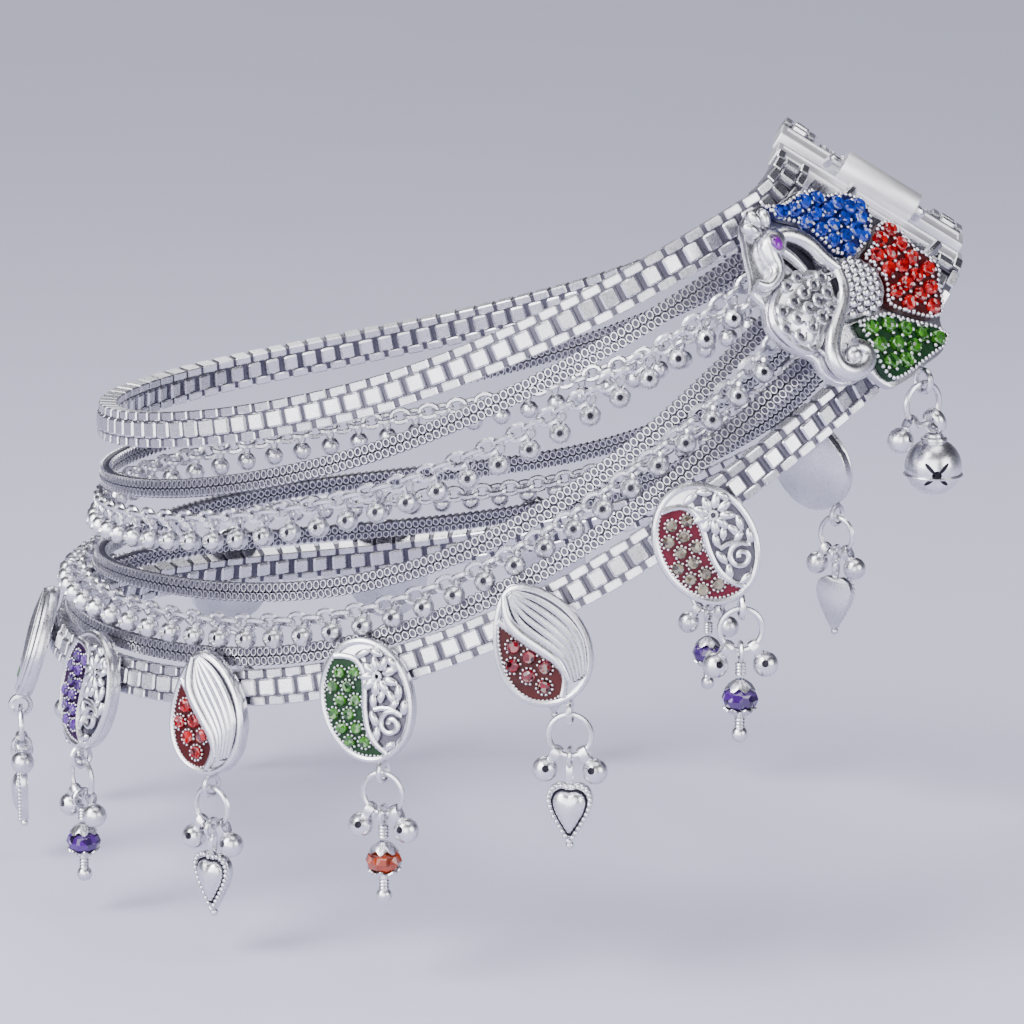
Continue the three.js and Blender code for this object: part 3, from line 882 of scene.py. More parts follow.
@dataclass(frozen=True)
class Strand:
    """One strand's oval loop, in millimetres, as in the CAD model.

    Attributes:
        heel: reach to the heel.
        instep: reach to the instep.
        half: half width across the ankle.
        z_heel: height at the heel.
        z_side: height at the sides.
        z_instep: height at the instep.
        swell: bend of the side heights.
        join: angle where the near side turns to its end plate.
        seat: its place along the end plate.
        far_join: angle where the far side turns to its end plate.
    """

    heel: float
    instep: float
    half: float
    z_heel: float
    z_side: float
    z_instep: float
    swell: float
    join: float
    seat: float
    far_join: float = 60.0

    def loop_point(self, degrees: float) -> np.ndarray:
        """Point of the oval at an angle from the instep over the near side.

        Args:
            degrees: the angle.

        Returns:
            The point in millimetres.
        """
        turn = math.radians(degrees)
        cos = math.cos(turn)
        middle = (self.z_heel + self.z_instep) / 4 + self.z_side / 2
        height = middle + (self.z_instep - self.z_heel) / 2 * cos
        height += (middle - self.z_side) * math.cos(2 * turn)
        height += self.swell * (cos - math.cos(3 * turn))
        reach = self.instep if cos > 0 else self.heel
        return np.array([reach * cos, -self.half * math.sin(turn), height])

    def seat_point(self, near: bool) -> np.ndarray:
        """Point where the strand meets its end plate on the near or the far side.

        Args:
            near: True for the near side.

        Returns:
            The point in millimetres.
        """
        inset = PLATES.width / 2 + CLEARANCE + 0.2
        across = -inset if near else PLATES.gap + inset
        return np.array(PLATES.top) + PLATES.along * self.seat + PLATES.across * across

    def point(self, degrees: float) -> np.ndarray:
        """Point of the strand, which leaves the oval near the end plates.

        Args:
            degrees: angle from the instep over the near side, 0 to 360.

        Returns:
            The point in millimetres.
        """
        if self.join <= degrees <= 360 - self.far_join:
            return self.loop_point(degrees)
        near = degrees < 180
        join_at = self.join if near else 360 - self.far_join
        step = 0.05 if near else -0.05
        seat, joint = self.seat_point(near), self.loop_point(join_at)
        run = float(np.linalg.norm(seat - joint))
        leave = PLATES.across * (-run if near else run)
        arrive = unit(self.loop_point(join_at + step) - self.loop_point(join_at - step)) * run
        s = degrees / self.join if near else (360 - degrees) / self.far_join
        return (
            seat * (2 * s**3 - 3 * s**2 + 1)
            + leave * (s**3 - 2 * s**2 + s)
            + joint * (3 * s**2 - 2 * s**3)
            + arrive * (s**3 - s**2)
        )


STRANDS = (
    Strand(49.5, 46.5, 36.5, 10.5, 21.5, 47.3, -0.5, 33, 0),
    Strand(50, 48, 37, 3.5, 15, 44.6, -0.5, 33, 4.15),
    Strand(50.5, 49.5, 37.5, 0.5, 10.5, 44.3, -1, 33, 6.6),
    Strand(51, 51, 38, -7.5, 0, 43, -2.5, 32, 11.1),
    Strand(53.5, 52.5, 39, -8, -3.2, 40.8, -1.8, 31, 13.6),
    Strand(55, 54, 39.5, -12.8, -6.9, 35, -1.5, 30, 17.4),
    Strand(56.5, 55.5, 40, -16.8, -10.5, 27, -1, 24, 21.0),
)


class StrandRun:
    """A strand by its length, with frames that lie flat to the ankle."""

    def __init__(self, index: int) -> None:
        """Measures the strand.

        Args:
            index: the strand's place from the top, from 0.
        """
        self.strand = STRANDS[index]
        self.above = STRANDS[max(index - 1, 0)]
        self.below = STRANDS[min(index + 1, len(STRANDS) - 1)]
        self.angles = np.linspace(0, 360, 1441)
        self.points = np.array([self.strand.point(angle) for angle in self.angles])
        steps = np.linalg.norm(np.diff(self.points, axis=0), axis=1)
        self.reach = np.r_[0, np.cumsum(steps)]
        self.length = float(self.reach[-1])

    def degrees_at(self, distance: float) -> float:
        """Angle of the point at a distance along the strand."""
        return float(np.interp(distance, self.reach, self.angles))

    def point_at(self, distance: float) -> np.ndarray:
        """Point at a distance along the strand."""
        return np.array([np.interp(distance, self.reach, self.points[:, k]) for k in range(3)])

    def axes_at(self, distance: float) -> tuple[np.ndarray, np.ndarray]:
        """Directions at a distance along the strand.

        Args:
            distance: length from the near end plate.

        Returns:
            The direction away from the ankle and the direction up, both square to the strand.
        """
        span = 0.15
        low, high = max(distance - span, 0), min(distance + span, self.length)
        along = unit(self.point_at(high) - self.point_at(low))
        degrees = self.degrees_at(distance)
        rise = self.above.point(degrees) - self.below.point(degrees)
        out = unit(np.cross(rise, along))
        return out, np.cross(along, out)

    def place_at(self, distance: float) -> np.ndarray:
        """Frame on the strand: x to the viewer's right, y up and z away from the ankle."""
        out, up = self.axes_at(distance)
        return place_at(self.point_at(distance), np.cross(up, out), up, out)

    def hanging_place_at(self, distance: float) -> np.ndarray:
        """Frame on the strand with y straight up.

        Args:
            distance: length from the near end plate.

        Returns:
            A 4 by 4 matrix.
        """
        out, _ = self.axes_at(distance)
        level = unit(out - UP * out[2])
        return place_at(self.point_at(distance), np.cross(UP, level), UP, level)

    def distances(self, pitch: float, phase: float = 0.5) -> np.ndarray:
        """Evenly spaced distances over the whole strand, as near the pitch as fits."""
        count = round(self.length / pitch)
        return (np.arange(count) + phase) * self.length / count


@dataclass
class BoxChain:
    """Wide woven box chain: bright middle links and two rows of edge links half a pitch on."""

    index: int
    finishes: Finishes
    pitch: float = 2.68
    middle: Point3 = (2.0, 1.98, 2.6)
    edge: Point3 = (2.16, 1.04, 2.3)
    edge_at: float = 1.62
    # Size of the grey block of painted shade inside the links
    shade_block: Point3 = (2.7, 3.9, 1.7)
    lean: float = 10.0

    def pattern(self) -> bpy.types.Object:
        """One pitch of the chain.

        Returns:
            The object.
        """
        middle = painted(block(self.middle, (0, 0, 0), 0.22), self.finishes.silver)
        settled(middle, local(turn=(0, self.lean, 0)))
        # Painted shade: a grey block inside the links, seen in the gaps between them where shade falls
        shade_block = painted(block(self.shade_block, (0, 0, 0), 0.05), self.finishes.shade)
        parts = [middle, shade_block]
        for side in (-1, 1):
            centre = (self.pitch / 2, side * self.edge_at, 0)
            parts.append(painted(block(self.edge, centre, 0.14), self.finishes.silver))
        return joined("box_link", parts)

    def build(self) -> None:
        """Builds the strand."""
        run = StrandRun(self.index)
        places = [run.place_at(distance) for distance in run.distances(self.pitch)]
        number = self.index + 1
        chain = repeated(self.pattern(), places, "box_chain")
        finished(chain, f"strand_{number}_links", [f"strand_{number}_box_chain"], 25)


@dataclass
class MeshChain:
    """Fine chain of two rows of short tubes, seen end on as little rounded rings."""

    index: int
    finishes: Finishes
    pitch: float = 0.94
    size: Point3 = (0.84, 1.02, 1.5)
    wall: float = 0.1
    sunk: float = 0.3
    row_at: float = 0.55
    lean: float = 16.0
    # Size of the block of painted shade that shows between the rings
    shade_block: Point3 = (0.95, 1.0, 0.8)

    def pattern(self) -> bpy.types.Object:
        """One ring, with its floor inside each end painted dark as shade, and a block of painted shade
        behind it.

        Returns:
            The object.
        """
        clear_selection()
        bpy.ops.mesh.primitive_cylinder_add(
            vertices=8, radius=0.5, depth=1, rotation=(0, 0, math.pi / 8)
        )
        link = painted(settled(bpy.context.object, scaled(*self.size)), self.finishes.silver)
        select_faces(link, lambda _, normal: abs(normal.z) > 0.9)
        bpy.ops.mesh.inset(thickness=self.wall, depth=0.0, use_individual=True)
        bpy.ops.mesh.inset(thickness=0.02, depth=-self.sunk, use_individual=True)
        # Painted shade: the sunk floor inside each end
        paint_selected(link, self.finishes.shade)
        # Painted shade: a grey block behind the rings, seen in the gaps between them
        shade_block = painted(block(self.shade_block, (0, 0, 0), 0.04), self.finishes.shade)
        return joined("mesh_link", [link, shade_block])

    def build(self) -> None:
        """Builds the strand."""
        run = StrandRun(self.index)
        places = []
        for side in (-1, 1):
            row = local(y=side * self.row_at, turn=(0, 0, -side * self.lean))
            distances = run.distances(self.pitch, 0.25 if side < 0 else 0.75)
            places += [run.place_at(distance) @ row for distance in distances]
        number = self.index + 1
        chain = repeated(self.pattern(), places, "mesh_chain")
        finished(chain, f"strand_{number}_links", [f"strand_{number}_mesh_chain"], 50)


@dataclass
class BellChain:
    """Curb chain with a little rattle bell on each second link."""

    index: int
    finishes: Finishes
    bell_at: Point3
    pitch: float = 1.96
    link: Point2 = (1.25, 0.86)
    wire: float = 0.34
    face_on: float = 16.0
    edge_on: float = 72.0
    bell: float = 1.32
    hole: float = 0.3
    beaded_from: float = 36.0

    def link_pattern(self) -> bpy.types.Object:
        """One oval link.

        Returns:
            The object.
        """
        clear_selection()
        bpy.ops.mesh.primitive_torus_add(
            major_radius=1, minor_radius=self.wire, major_segments=12, minor_segments=6
        )
        link = bpy.context.object
        for vertex in link.data.vertices:
            flat = Vector((vertex.co.x, vertex.co.y))
            middle = flat.normalized()
            spread = flat - middle
            vertex.co.x = middle.x * self.link[0] + spread.x
            vertex.co.y = middle.y * self.link[1] + spread.y
        return painted(link, self.finishes.silver)

    def bell_pattern(self) -> bpy.types.Object:
        """One bell on its strap, drawn with y up and z out.

        Returns:
            The object.
        """
        x, y, z = self.bell_at
        # The dark finish is painted shade in each bell's hole
        finishes = (self.finishes.silver, self.finishes.dark)
        bell = holed_ball(self.bell, self.hole, 10, 7, finishes)
        settled(bell, local(x, y, z, turn=(-12, 0, 0)))
        top, low = np.array([0.0, -0.2, 0.3]), np.array([x, y + 0.85 * self.bell, z])
        middle, span = (top + low) / 2, float(np.linalg.norm(top - low)) / 2
        strap = ring(1, 0.2, 10, 5, scaled(1, 0.5, 1))
        lean = math.degrees(math.atan2(middle[0] - top[0], -(middle[1] - top[1])))
        tip = math.degrees(math.atan2(low[2] - top[2], -(low[1] - top[1])))
        settled(strap, scaled(span + 0.1, 1.0, 1.4))
        settled(strap, local(*middle, turn=(0, 0, 90)) @ local(turn=(0, -tip, lean)))
        return joined("bell", [bell, painted(strap, self.finishes.silver)])

    def build(self) -> None:
        """Builds the strand."""
        run = StrandRun(self.index)
        distances = run.distances(self.pitch)
        places = [
            run.place_at(distance) @ local(turn=(self.face_on if i % 2 else self.edge_on, 0, 0))
            for i, distance in enumerate(distances)
        ]
        bells = [
            run.hanging_place_at(distance)
            for distance in distances[::2]
            if self.beaded_from < run.degrees_at(distance) < 360 - self.beaded_from
        ]
        chain = joined(
            "bell_chain",
            [
                repeated(self.link_pattern(), places, "links"),
                repeated(self.bell_pattern(), bells, "bells"),
            ],
        )
        number = self.index + 1
        finished(chain, f"strand_{number}_links", [f"strand_{number}_bead_chain"], 50)


@dataclass
class Clasp:
    """Two end bars: one carries a rolled hook and the other the wire loop that it holds."""

    finishes: Finishes
    hook_length: float = 10.0
    hook_radius: float = 2.0
    strip: float = 0.6
    axis: Point2 = (2.9, 2.3)
    pin: float = 0.5

    def place(self) -> np.ndarray:
        """Frame of the clasp: x along the bars, y across them and z out."""
        return place_at(np.array(PLATES.top), PLATES.along, PLATES.across, PLATES.out)

    def bar(self, across: float) -> bpy.types.Object:
        """One end bar with a raised lip along each long edge.

        Args:
            across: place of its middle across the bars.

        Returns:
            The object.
        """
        length = PLATES.length + 2 * PLATES.overhang
        size = (length, PLATES.width, PLATES.thickness)
        bar = block(size, (PLATES.length / 2, across, 0), 0.28, 3)
        select_faces(bar, lambda _, normal: normal.z > 0.98)
        bpy.ops.mesh.inset(thickness=0.45, depth=0.0)
        bpy.ops.mesh.inset(thickness=0.12, depth=-0.22)
        clear_selection()
        return painted(bar, self.finishes.satin)

    def roll(self) -> bpy.types.Object:
        """The strip of the hook, rolled round with its mouth to the eye's bar.

        Returns:
            The object.
        """
        middle = (PLATES.length / 2, *self.axis)
        clear_selection()
        radius = self.hook_radius - self.strip / 2
        start = math.radians(-50)
        bpy.ops.mesh.primitive_plane_add(size=1)
        roll = settled(bpy.context.object)
        for vertex in roll.data.vertices:
            x = -0.5 if vertex.co.x < 0 else 0.5
            spread = 0.5 * self.strip * (1 if vertex.co.y > 0 else -1)
            vertex.co = (
                middle[0] + x * self.hook_length,
                middle[1] + (radius + spread) * math.cos(start),
                middle[2] + (radius + spread) * math.sin(start),
            )
        bpy.ops.object.mode_set(mode="EDIT")
        bpy.ops.mesh.select_all(action="SELECT")
        bpy.ops.mesh.spin(steps=28, angle=math.radians(-280), center=middle, axis=(1, 0, 0))
        bpy.ops.mesh.select_all(action="SELECT")
        bpy.ops.mesh.remove_doubles(threshold=0.001)
        bpy.ops.mesh.normals_make_consistent(inside=False)
        clear_selection()
        sharp = {"limit_method": "ANGLE", "angle_limit": math.radians(60)}
        with_modifier(roll, "BEVEL", width=0.08, segments=2, **sharp)
        return painted(roll, self.finishes.satin)

    def loop(self) -> bpy.types.Object:
        """The wire loop of the eye's bar.

        Returns:
            The object.
        """
        reach = self.hook_radius - self.strip - self.pin - CLEARANCE
        y, z = self.axis[0] + reach, self.axis[1]
        half, middle = self.hook_length / 2 + 1.2, PLATES.length / 2
        foot = (PLATES.gap - PLATES.width / 2 + 0.6, 0.4)
        points = [(middle - half, *foot), (middle - half, y + 0.9, z - 0.2), (middle - half, y, z)]
        points += [(middle - half + 1.2, y, z), (middle, y, z), (middle + half - 1.2, y, z)]
        points += [(middle + half, y, z), (middle + half, y + 0.9, z - 0.2), (middle + half, *foot)]
        return painted(wire(points, self.pin, sides=2, detail=6), self.finishes.silver)

    def build(self) -> None:
        """Builds both halves of the clasp."""
        hook = settled(joined("hook", [self.bar(0), self.roll()]), self.place())
        finished(hook, "hook_bar", ["clasp_hook_plate"])
        eye = settled(joined("eye", [self.bar(PLATES.gap), self.loop()]), self.place())
        finished(eye, "eye_bar", ["clasp_eye_plate"])


# Pave setting


@dataclass
class Pave:
    """Stones set in a sunk enamel field, with a grain of silver at each stone's corners."""

    outline: Sequence[Point2]
    stones: Sequence[Point2]
    floor: float
    radius: float
    grain: float
    edge_pitch: float
    spacing: float
    crown: float = 0.5

    def stone_pattern(self, material: bpy.types.Material) -> bpy.types.Object:
        """A round cut stone: facets under a flat table.

        Args:
            material: the stones' material.

        Returns:
            The object.
        """
        clear_selection()
        bpy.ops.mesh.primitive_ico_sphere_add(subdivisions=2, radius=self.radius)
        stone = bpy.context.object
        bpy.ops.object.mode_set(mode="EDIT")
        bpy.ops.mesh.select_all(action="SELECT")
        bpy.ops.mesh.bisect(
            plane_co=(0, 0, 0.62 * self.radius), plane_no=(0, 0, 1), clear_outer=True, use_fill=True
        )
        bpy.ops.mesh.select_all(action="SELECT")
        bpy.ops.mesh.bisect(
            plane_co=(0, 0, -0.3 * self.radius), plane_no=(0, 0, 1), clear_inner=True, use_fill=True
        )
        clear_selection()
        return painted(settled(stone, scaled(1, 1, self.crown / 0.5)), material)

    def bed(self, bottom: float, enamel: bpy.types.Material) -> bpy.types.Object:
        """The enamel field."""
        return painted(plate(smoothed(self.outline), bottom, self.floor, 0.08), enamel)

    def gems(self, material: bpy.types.Material) -> bpy.types.Object:
        """All stones of the field.

        Args:
            material: the stones' material.

        Returns:
            The object.
        """
        places = [
            local(x, y, self.floor + 0.1, turn=(0, 0, 37.0 * i)) for i, (x, y) in enumerate(self.stones)
        ]
        return repeated(self.stone_pattern(material), places, "stones")

    def grain_spots(self) -> list[Point2]:
        """Places of the grains between the stones.

        Returns:
            The places.
        """
        spots: list[Point2] = []
        reach = self.radius + 0.45 * self.grain
        count = round(2 * math.pi * reach / self.spacing)
        for x, y in self.stones:
            for step in range(count):
                turn = 2 * math.pi * step / count + 0.35
                spot = (x + reach * math.cos(turn), y + reach * math.sin(turn))
                clear = all(math.dist(spot, other) > 0.8 * self.spacing for other in spots)
                off_stones = all(math.dist(spot, stone) > 0.95 * self.radius for stone in self.stones)
                if clear and off_stones and is_inside(*spot, self.outline):
                    spots.append(spot)
        return spots

    def grains(self, material: bpy.types.Material) -> bpy.types.Object:
        """The grains between the stones and the beaded edge.

        Args:
            material: the metal.

        Returns:
            The object.
        """
        clear_selection()
        bpy.ops.mesh.primitive_ico_sphere_add(subdivisions=2, radius=self.grain)
        grain = painted(bpy.context.object, material)
        level = self.floor + 0.5 * self.grain
        places = [local(x, y, level + 0.1) for x, y in self.grain_spots()]
        edge = along_outline(smoothed(self.outline), self.edge_pitch, 0.6 * self.grain)
        places += [local(x, y, level) for x, y in edge]
        return repeated(grain, places, "grains")


# The peacock plaque


PLAQUE_OUTLINE = [
    (-13.1, 10.0), (-14.2, 8.2), (-15.2, 6.8), (-16.6, 4.4), (-18.0, 3.4), (-17.4, 1.4),
    (-19.0, -0.6), (-18.8, -3.0), (-17.2, -5.6), (-16.2, -6.6), (-16.6, -8.6), (-15.6, -10.8),
    (-13.2, -12.0), (-10.8, -12.0), (-10.4, -13.8), (-9.6, -15.2), (-6.6, -15.7), (-3.6, -15.8),
    (-0.4, -16.1), (1.8, -15.4), (2.2, -13.4), (3.9, -12.0), (5.2, -9.9), (6.8, -8.7),
    (6.7, -7.0), (5.4, -4.5), (5.3, -2.0), (4.4, 0.1), (3.2, 1.7), (3.1, 3.6), (1.9, 5.2),
    (0.4, 6.4), (-1.5, 7.0), (-2.1, 8.0), (-3.6, 9.0), (-7.6, 9.2), (-9.9, 10.8),
]
BLUE_FIELD = [
    (-9.8, 10.3), (-9.0, 7.9), (-7.4, 6.5), (-6.2, 4.6), (-5.8, 2.8), (-5.4, 0.6), (-2.8, -0.8),
    (-0.3, -0.6), (1.6, 0.4), (2.9, 1.8), (2.8, 3.5), (1.8, 4.9), (0.3, 6.0), (-1.6, 6.6),
    (-2.2, 7.7), (-3.5, 8.6), (-5.4, 8.8), (-7.6, 8.9),
]
RED_FIELD = [
    (-2.3, -1.6), (-1.6, -3.5), (-1.6, -5.5), (-3.5, -7.3), (-3.0, -8.4), (-0.9, -10.7),
    (0.7, -12.2), (2.4, -12.6), (3.6, -11.6), (4.8, -9.5), (6.3, -8.5), (6.3, -7.1), (5.0, -4.6),
    (4.9, -2.2), (4.2, -0.3), (2.5, 0.2), (0.5, -1.1),
]
GREEN_FIELD = [
    (-8.8, -6.6), (-9.3, -9.8), (-9.8, -11.8), (-10.0, -13.5), (-9.4, -14.6), (-6.8, -15.1),
    (-3.7, -15.2), (-0.4, -15.5), (1.3, -15.1), (0.7, -13.3), (-1.1, -11.6), (-3.2, -9.5),
    (-4.5, -8.0), (-7.3, -7.2),
]
BLUE_STONES = [
    (-8.3, 8.4), (-6.5, 7.6), (-4.6, 7.6), (-2.8, 6.9), (-6.3, 5.7), (-4.4, 5.7), (-2.6, 5.1),
    (-0.8, 5.0), (-5.0, 3.9), (-3.2, 3.4), (-1.4, 3.2), (0.4, 3.8), (-4.6, 2.1), (-2.8, 1.6),
    (-1.0, 1.4), (0.8, 2.0), (1.7, 3.2), (-3.4, 0.1), (-0.3, 0.3),
]
RED_STONES = [
    (3.4, -1.3), (1.4, -1.3), (-0.5, -2.5), (1.4, -3.3), (3.4, -3.3), (-0.3, -4.5), (1.6, -5.3),
    (3.6, -5.3), (-1.5, -7.0), (0.5, -7.1), (2.5, -7.2), (4.6, -7.5), (-0.9, -9.0), (1.2, -9.2),
    (3.2, -9.4), (1.8, -11.2),
]
GREEN_STONES = [
    (-7.6, -8.2), (-5.4, -9.3), (-8.2, -10.3), (-3.7, -10.9), (-6.0, -11.5), (-8.2, -12.6),
    (-2.0, -12.7), (-4.2, -13.1), (-6.4, -13.7), (-0.5, -14.3),
]


@dataclass
class Peacock:
    """Cast plaque: a peacock in high relief before three fields of stones."""

    finishes: Finishes
    centre: Point3 = (50.95, -15.7, 39.1)
    out: Point3 = (0.726, -0.506, 0.467)
    up: Point3 = (-0.596, -0.122, 0.794)
    thickness: float = 1.0
    floor: float = 1.1
    eyelet: Point3 = (-4.6, -17.05, -0.5)
    eyelet_turn: float = -26.0
    eyelet_radius: float = 1.25
    eyelet_wire: float = 0.35
    tongue: float = 0.65
    tongue_courses: Sequence[Sequence[Point3]] = (
        ((0.5, 4.6, -0.5), (3.6, 4.6, -0.7), (6.2, 4.6, -2.6), (7.8, 4.6, -4.4)),
        ((4.0, -6.6, -0.8), (6.8, -6.6, -0.6), (8.8, -6.6, -0.6), (10.2, -6.6, -1.1)),
    )
    stone: float = 0.96
    grain: float = 0.25
    body: Sequence[Point2] = (
        (-8.2, -0.7), (-9.7, 1.0), (-12.0, 2.0), (-14.5, 1.9), (-16.8, 1.1), (-18.3, -0.1),
        (-18.6, -1.8), (-18.0, -4.2), (-16.8, -5.8), (-15.3, -5.9), (-13.4, -4.8), (-10.4, -3.8),
        (-8.6, -2.4),
    )
    wing: Sequence[Point2] = (
        (-5.9, 0.2), (-7.2, -0.8), (-7.4, -2.4), (-8.5, -4.0), (-9.8, -5.0), (-9.5, -5.8),
        (-7.1, -6.6), (-4.7, -6.9), (-3.1, -6.3), (-2.2, -4.9), (-2.2, -2.8), (-3.7, -1.0),
    )
    tail: Sequence[Point2] = (
        (-6.9, 0.2), (-7.2, -0.9), (-7.8, -2.6), (-9.2, -3.9), (-11.4, -4.9), (-13.3, -5.9),
        (-14.8, -7.2), (-15.4, -8.8), (-14.6, -10.3), (-12.6, -11.0), (-11.0, -10.5),
        (-10.7, -9.3), (-11.6, -8.6),
    )
    neck: Sequence[Point2] = (
        (-11.6, 6.8), (-10.0, 6.5), (-8.7, 5.2), (-7.9, 3.6), (-7.7, 1.6), (-7.3, 0.2), (-7.0, -0.8),
    )
    throat: Sequence[Point2] = ((-11.8, 5.6), (-11.2, 4.4), (-10.7, 3.0), (-10.6, 1.6))
    hollow: Sequence[Point2] = (
        (-10.8, 5.9), (-11.0, 4.4), (-10.6, 3.0), (-10.5, 1.2), (-8.9, 0.6), (-8.3, 2.2),
        (-8.4, 4.0), (-9.3, 5.6),
    )
    beak: Sequence[Point2] = (
        (-12.8, 6.3), (-13.3, 5.3), (-13.3, 4.3), (-13.9, 3.4), (-15.2, 2.9), (-16.6, 3.0),
        (-17.2, 4.0),
    )

    def place(self) -> np.ndarray:
        """Frame of the plaque: x right, y up and z out of its face.

        Returns:
            A 4 by 4 matrix.
        """
        out = unit(np.array(self.out))
        up = np.array(self.up)
        up = unit(up - out * float(up @ out))
        return place_at(np.array(self.centre), np.cross(up, out), up, out)

    def eyelet_place(self) -> np.ndarray:
        """Frame of the ring that hangs in the plaque's eyelet."""
        at = (self.place() @ np.array([*self.eyelet, 1.0]))[:3]
        return hanging_place(at, unit(np.array(self.out)))

    def crest(self) -> list[bpy.types.Object]:
        """Three round lobes on the head.

        Returns:
            The three lobes.
        """
        petals = []
        for x, y, turn in ((-13.0, 8.9, 25), (-11.7, 9.6, 0), (-10.4, 9.0, -25)):
            petals.append(ball(1, 14, 9, local(x, y, 0.6, turn=(0, 0, turn)) @ scaled(0.75, 1.25, 0.9)))
        return petals

    def body_height(self, x: float, y: float) -> float:
        """Height of the domed body at a place, in the plaque's frame."""
        away = math.hypot((x + 13.5) / 5.9, (y + 1.9) / 4.3)
        return 0.45 + 1.5 * math.sqrt(max(0.03, 1 - away**2))

    def curls(self) -> bpy.types.Object:
        """Rows of comma shaped scrolls over the body, each round a hollow painted grey as shade.

        Returns:
            The object.
        """
        turns = np.linspace(0.2 * math.pi, 1.85 * math.pi, 10)
        loop = [(0.66 * math.cos(t), 0.66 * math.sin(t), 0.0) for t in turns]
        course = [*loop, (1.0, -0.9, 0.0), (1.5, -1.1, -0.15)]
        bright = painted(wire(course, 0.27, lambda s: 1.15 - 0.5 * s, detail=2), self.finishes.silver)
        # Painted shade: a flat grey ball in the middle of each scroll
        hollow = painted(ball(1, 8, 5, local(z=-0.05) @ scaled(0.46, 0.46, 0.16)), self.finishes.shade)
        pattern = joined("curl", [bright, hollow])
        places = []
        for row in range(5):
            for column in range(6):
                x = -18.0 + 1.95 * column + 0.97 * (row % 2)
                y = 1.5 - 1.7 * row
                height = self.body_height(x, y)
                if height < 0.95 or not is_inside(x, y, self.body):
                    continue
                places.append(local(x, y, height, turn=(0, 0, -35 + 60 * (row % 2))))
        return repeated(pattern, places, "curls")

    def scales(self) -> bpy.types.Object:
        """Rows of scales over the wing.

        Returns:
            The object.
        """
        pattern = ball(0.62, 12, 7, scaled(1.05, 0.9, 0.5))
        places = []
        for row in range(8):
            for column in range(8):
                x = -9.6 + 1.16 * column + 0.58 * (row % 2)
                y = 0.0 - 0.94 * row
                if not is_inside(x, y, self.wing):
                    continue
                away = math.hypot((x + 5.6) / 4.4, (y + 3.3) / 4.0)
                height = 0.45 + 1.45 * math.sqrt(max(0.04, 1 - away**2))
                places.append(local(x, y, height, turn=(0, 0, 20)))
        return repeated(painted(pattern, self.finishes.cast), places, "scales")

    def bird(self) -> bpy.types.Object:
        """The peacock in silver: body, wing, head, neck, beak, crest and tail.

        Returns:
            The object.
        """
        cast, polished = self.finishes.cast, self.finishes.silver
        body = painted(dome(smoothed(self.body), -0.1, 0.5, 1.5), cast)
        rim_points = [(x, y, 0.75) for x, y in self.body]
        rim = painted(wire(rim_points, 0.5, closed=True, detail=3), polished)
        # Painted shade: the wing's dome is grey, seen as shade between the scales
        wing = painted(dome(smoothed(self.wing), -0.1, 0.4, 1.3), self.finishes.shade)
        wing_points = [(x, y, 0.8) for x, y in self.wing]
        wing_rim = painted(wire(wing_points, 0.42, closed=True, detail=3), polished)
        head = ball(1, 20, 14, local(-12.1, 6.1, 0.9, turn=(0, 0, 20)) @ scaled(2.2, 1.65, 1.5))
        neck_points = [(x, y, 0.7 + 0.2 * i) for i, (x, y) in enumerate(self.neck)]
        neck = wire(
            neck_points,
            1.0,
            lambda s: 0.95 + 0.25 * math.sin(math.pi * s) - 0.35 * s,
            sides=4,
            detail=6,
        )
        throat_points = [(x, y, 1.1) for x, y in self.throat]
        throat = wire(throat_points, 0.6, lambda s: 1.1 - 0.3 * s, sides=3, detail=6)
        # Painted shade: a near black plate fills the hollow between neck and throat
        hollow = painted(plate(smoothed(self.hollow), 0.0, 0.8), self.finishes.dark)
        beak_points = [(x, y, 1.0) for x, y in self.beak]
        beak = wire(beak_points, 1.15, lambda s: 1.1 - 0.65 * s, sides=4, detail=6)
        tail_points = [(x, y, 1.8 - 0.05 * i) for i, (x, y) in enumerate(self.tail)]
        tail = wire(tail_points, 1.2, lambda s: 0.55 + 0.55 * min(s, 0.8), sides=4, detail=6)
        # Painted shade: a near black wire along the tail's left side stands in for the shade in its
        # groove
        groove_points = [(x - 0.75, y - 0.35, 1.5) for x, y in self.tail[1:6]]
        groove = painted(wire(groove_points, 0.5, sides=2, detail=6), self.finishes.dark)
        knob = ball(1, 16, 12, local(-12.3, -9.2, 1.2) @ scaled(1.3, 1.15, 1.1))
        bright = (head, neck, throat, beak, tail, knob, *self.crest())
        smooth_parts = [painted(part, polished) for part in bright]
        parts = [body, rim, wing, wing_rim, hollow, groove, *smooth_parts, self.curls(), self.scales()]
        return joined("bird", [*parts, self.eye_rim(cast)])

    def eye_rim(self, metal: bpy.types.Material) -> bpy.types.Object:
        """The collar that holds the eye's stone."""
        return painted(ring(1, 0.16, 20, 6, local(-12.5, 6.2, 2.3) @ scaled(0.78, 1.0, 1.0)), metal)

    def eye(self) -> bpy.types.Object:
        """The eye's purple stone."""
        stone = ball(1, 14, 10, local(-12.5, 6.2, 2.25) @ scaled(0.74, 0.96, 0.55))
        return painted(stone, self.finishes.eye)

    def base(self) -> bpy.types.Object:
        """The cast back plate with its eyelet and the two tongues onto the hook's bar.

        Returns:
            The object.
        """
        back = plate(smoothed(PLAQUE_OUTLINE), -self.thickness, 0.1, 0.15)
        eyelet_at = local(*self.eyelet) @ local(turn=(0, 0, self.eyelet_turn)) @ local(turn=(0, 90, 0))
        eyelet = ring(self.eyelet_radius, self.eyelet_wire, 20, 8, eyelet_at)
        tongues = [wire(course, self.tongue, sides=2) for course in self.tongue_courses]
        return painted(joined("base", [back, eyelet, *tongues]), self.finishes.cast)

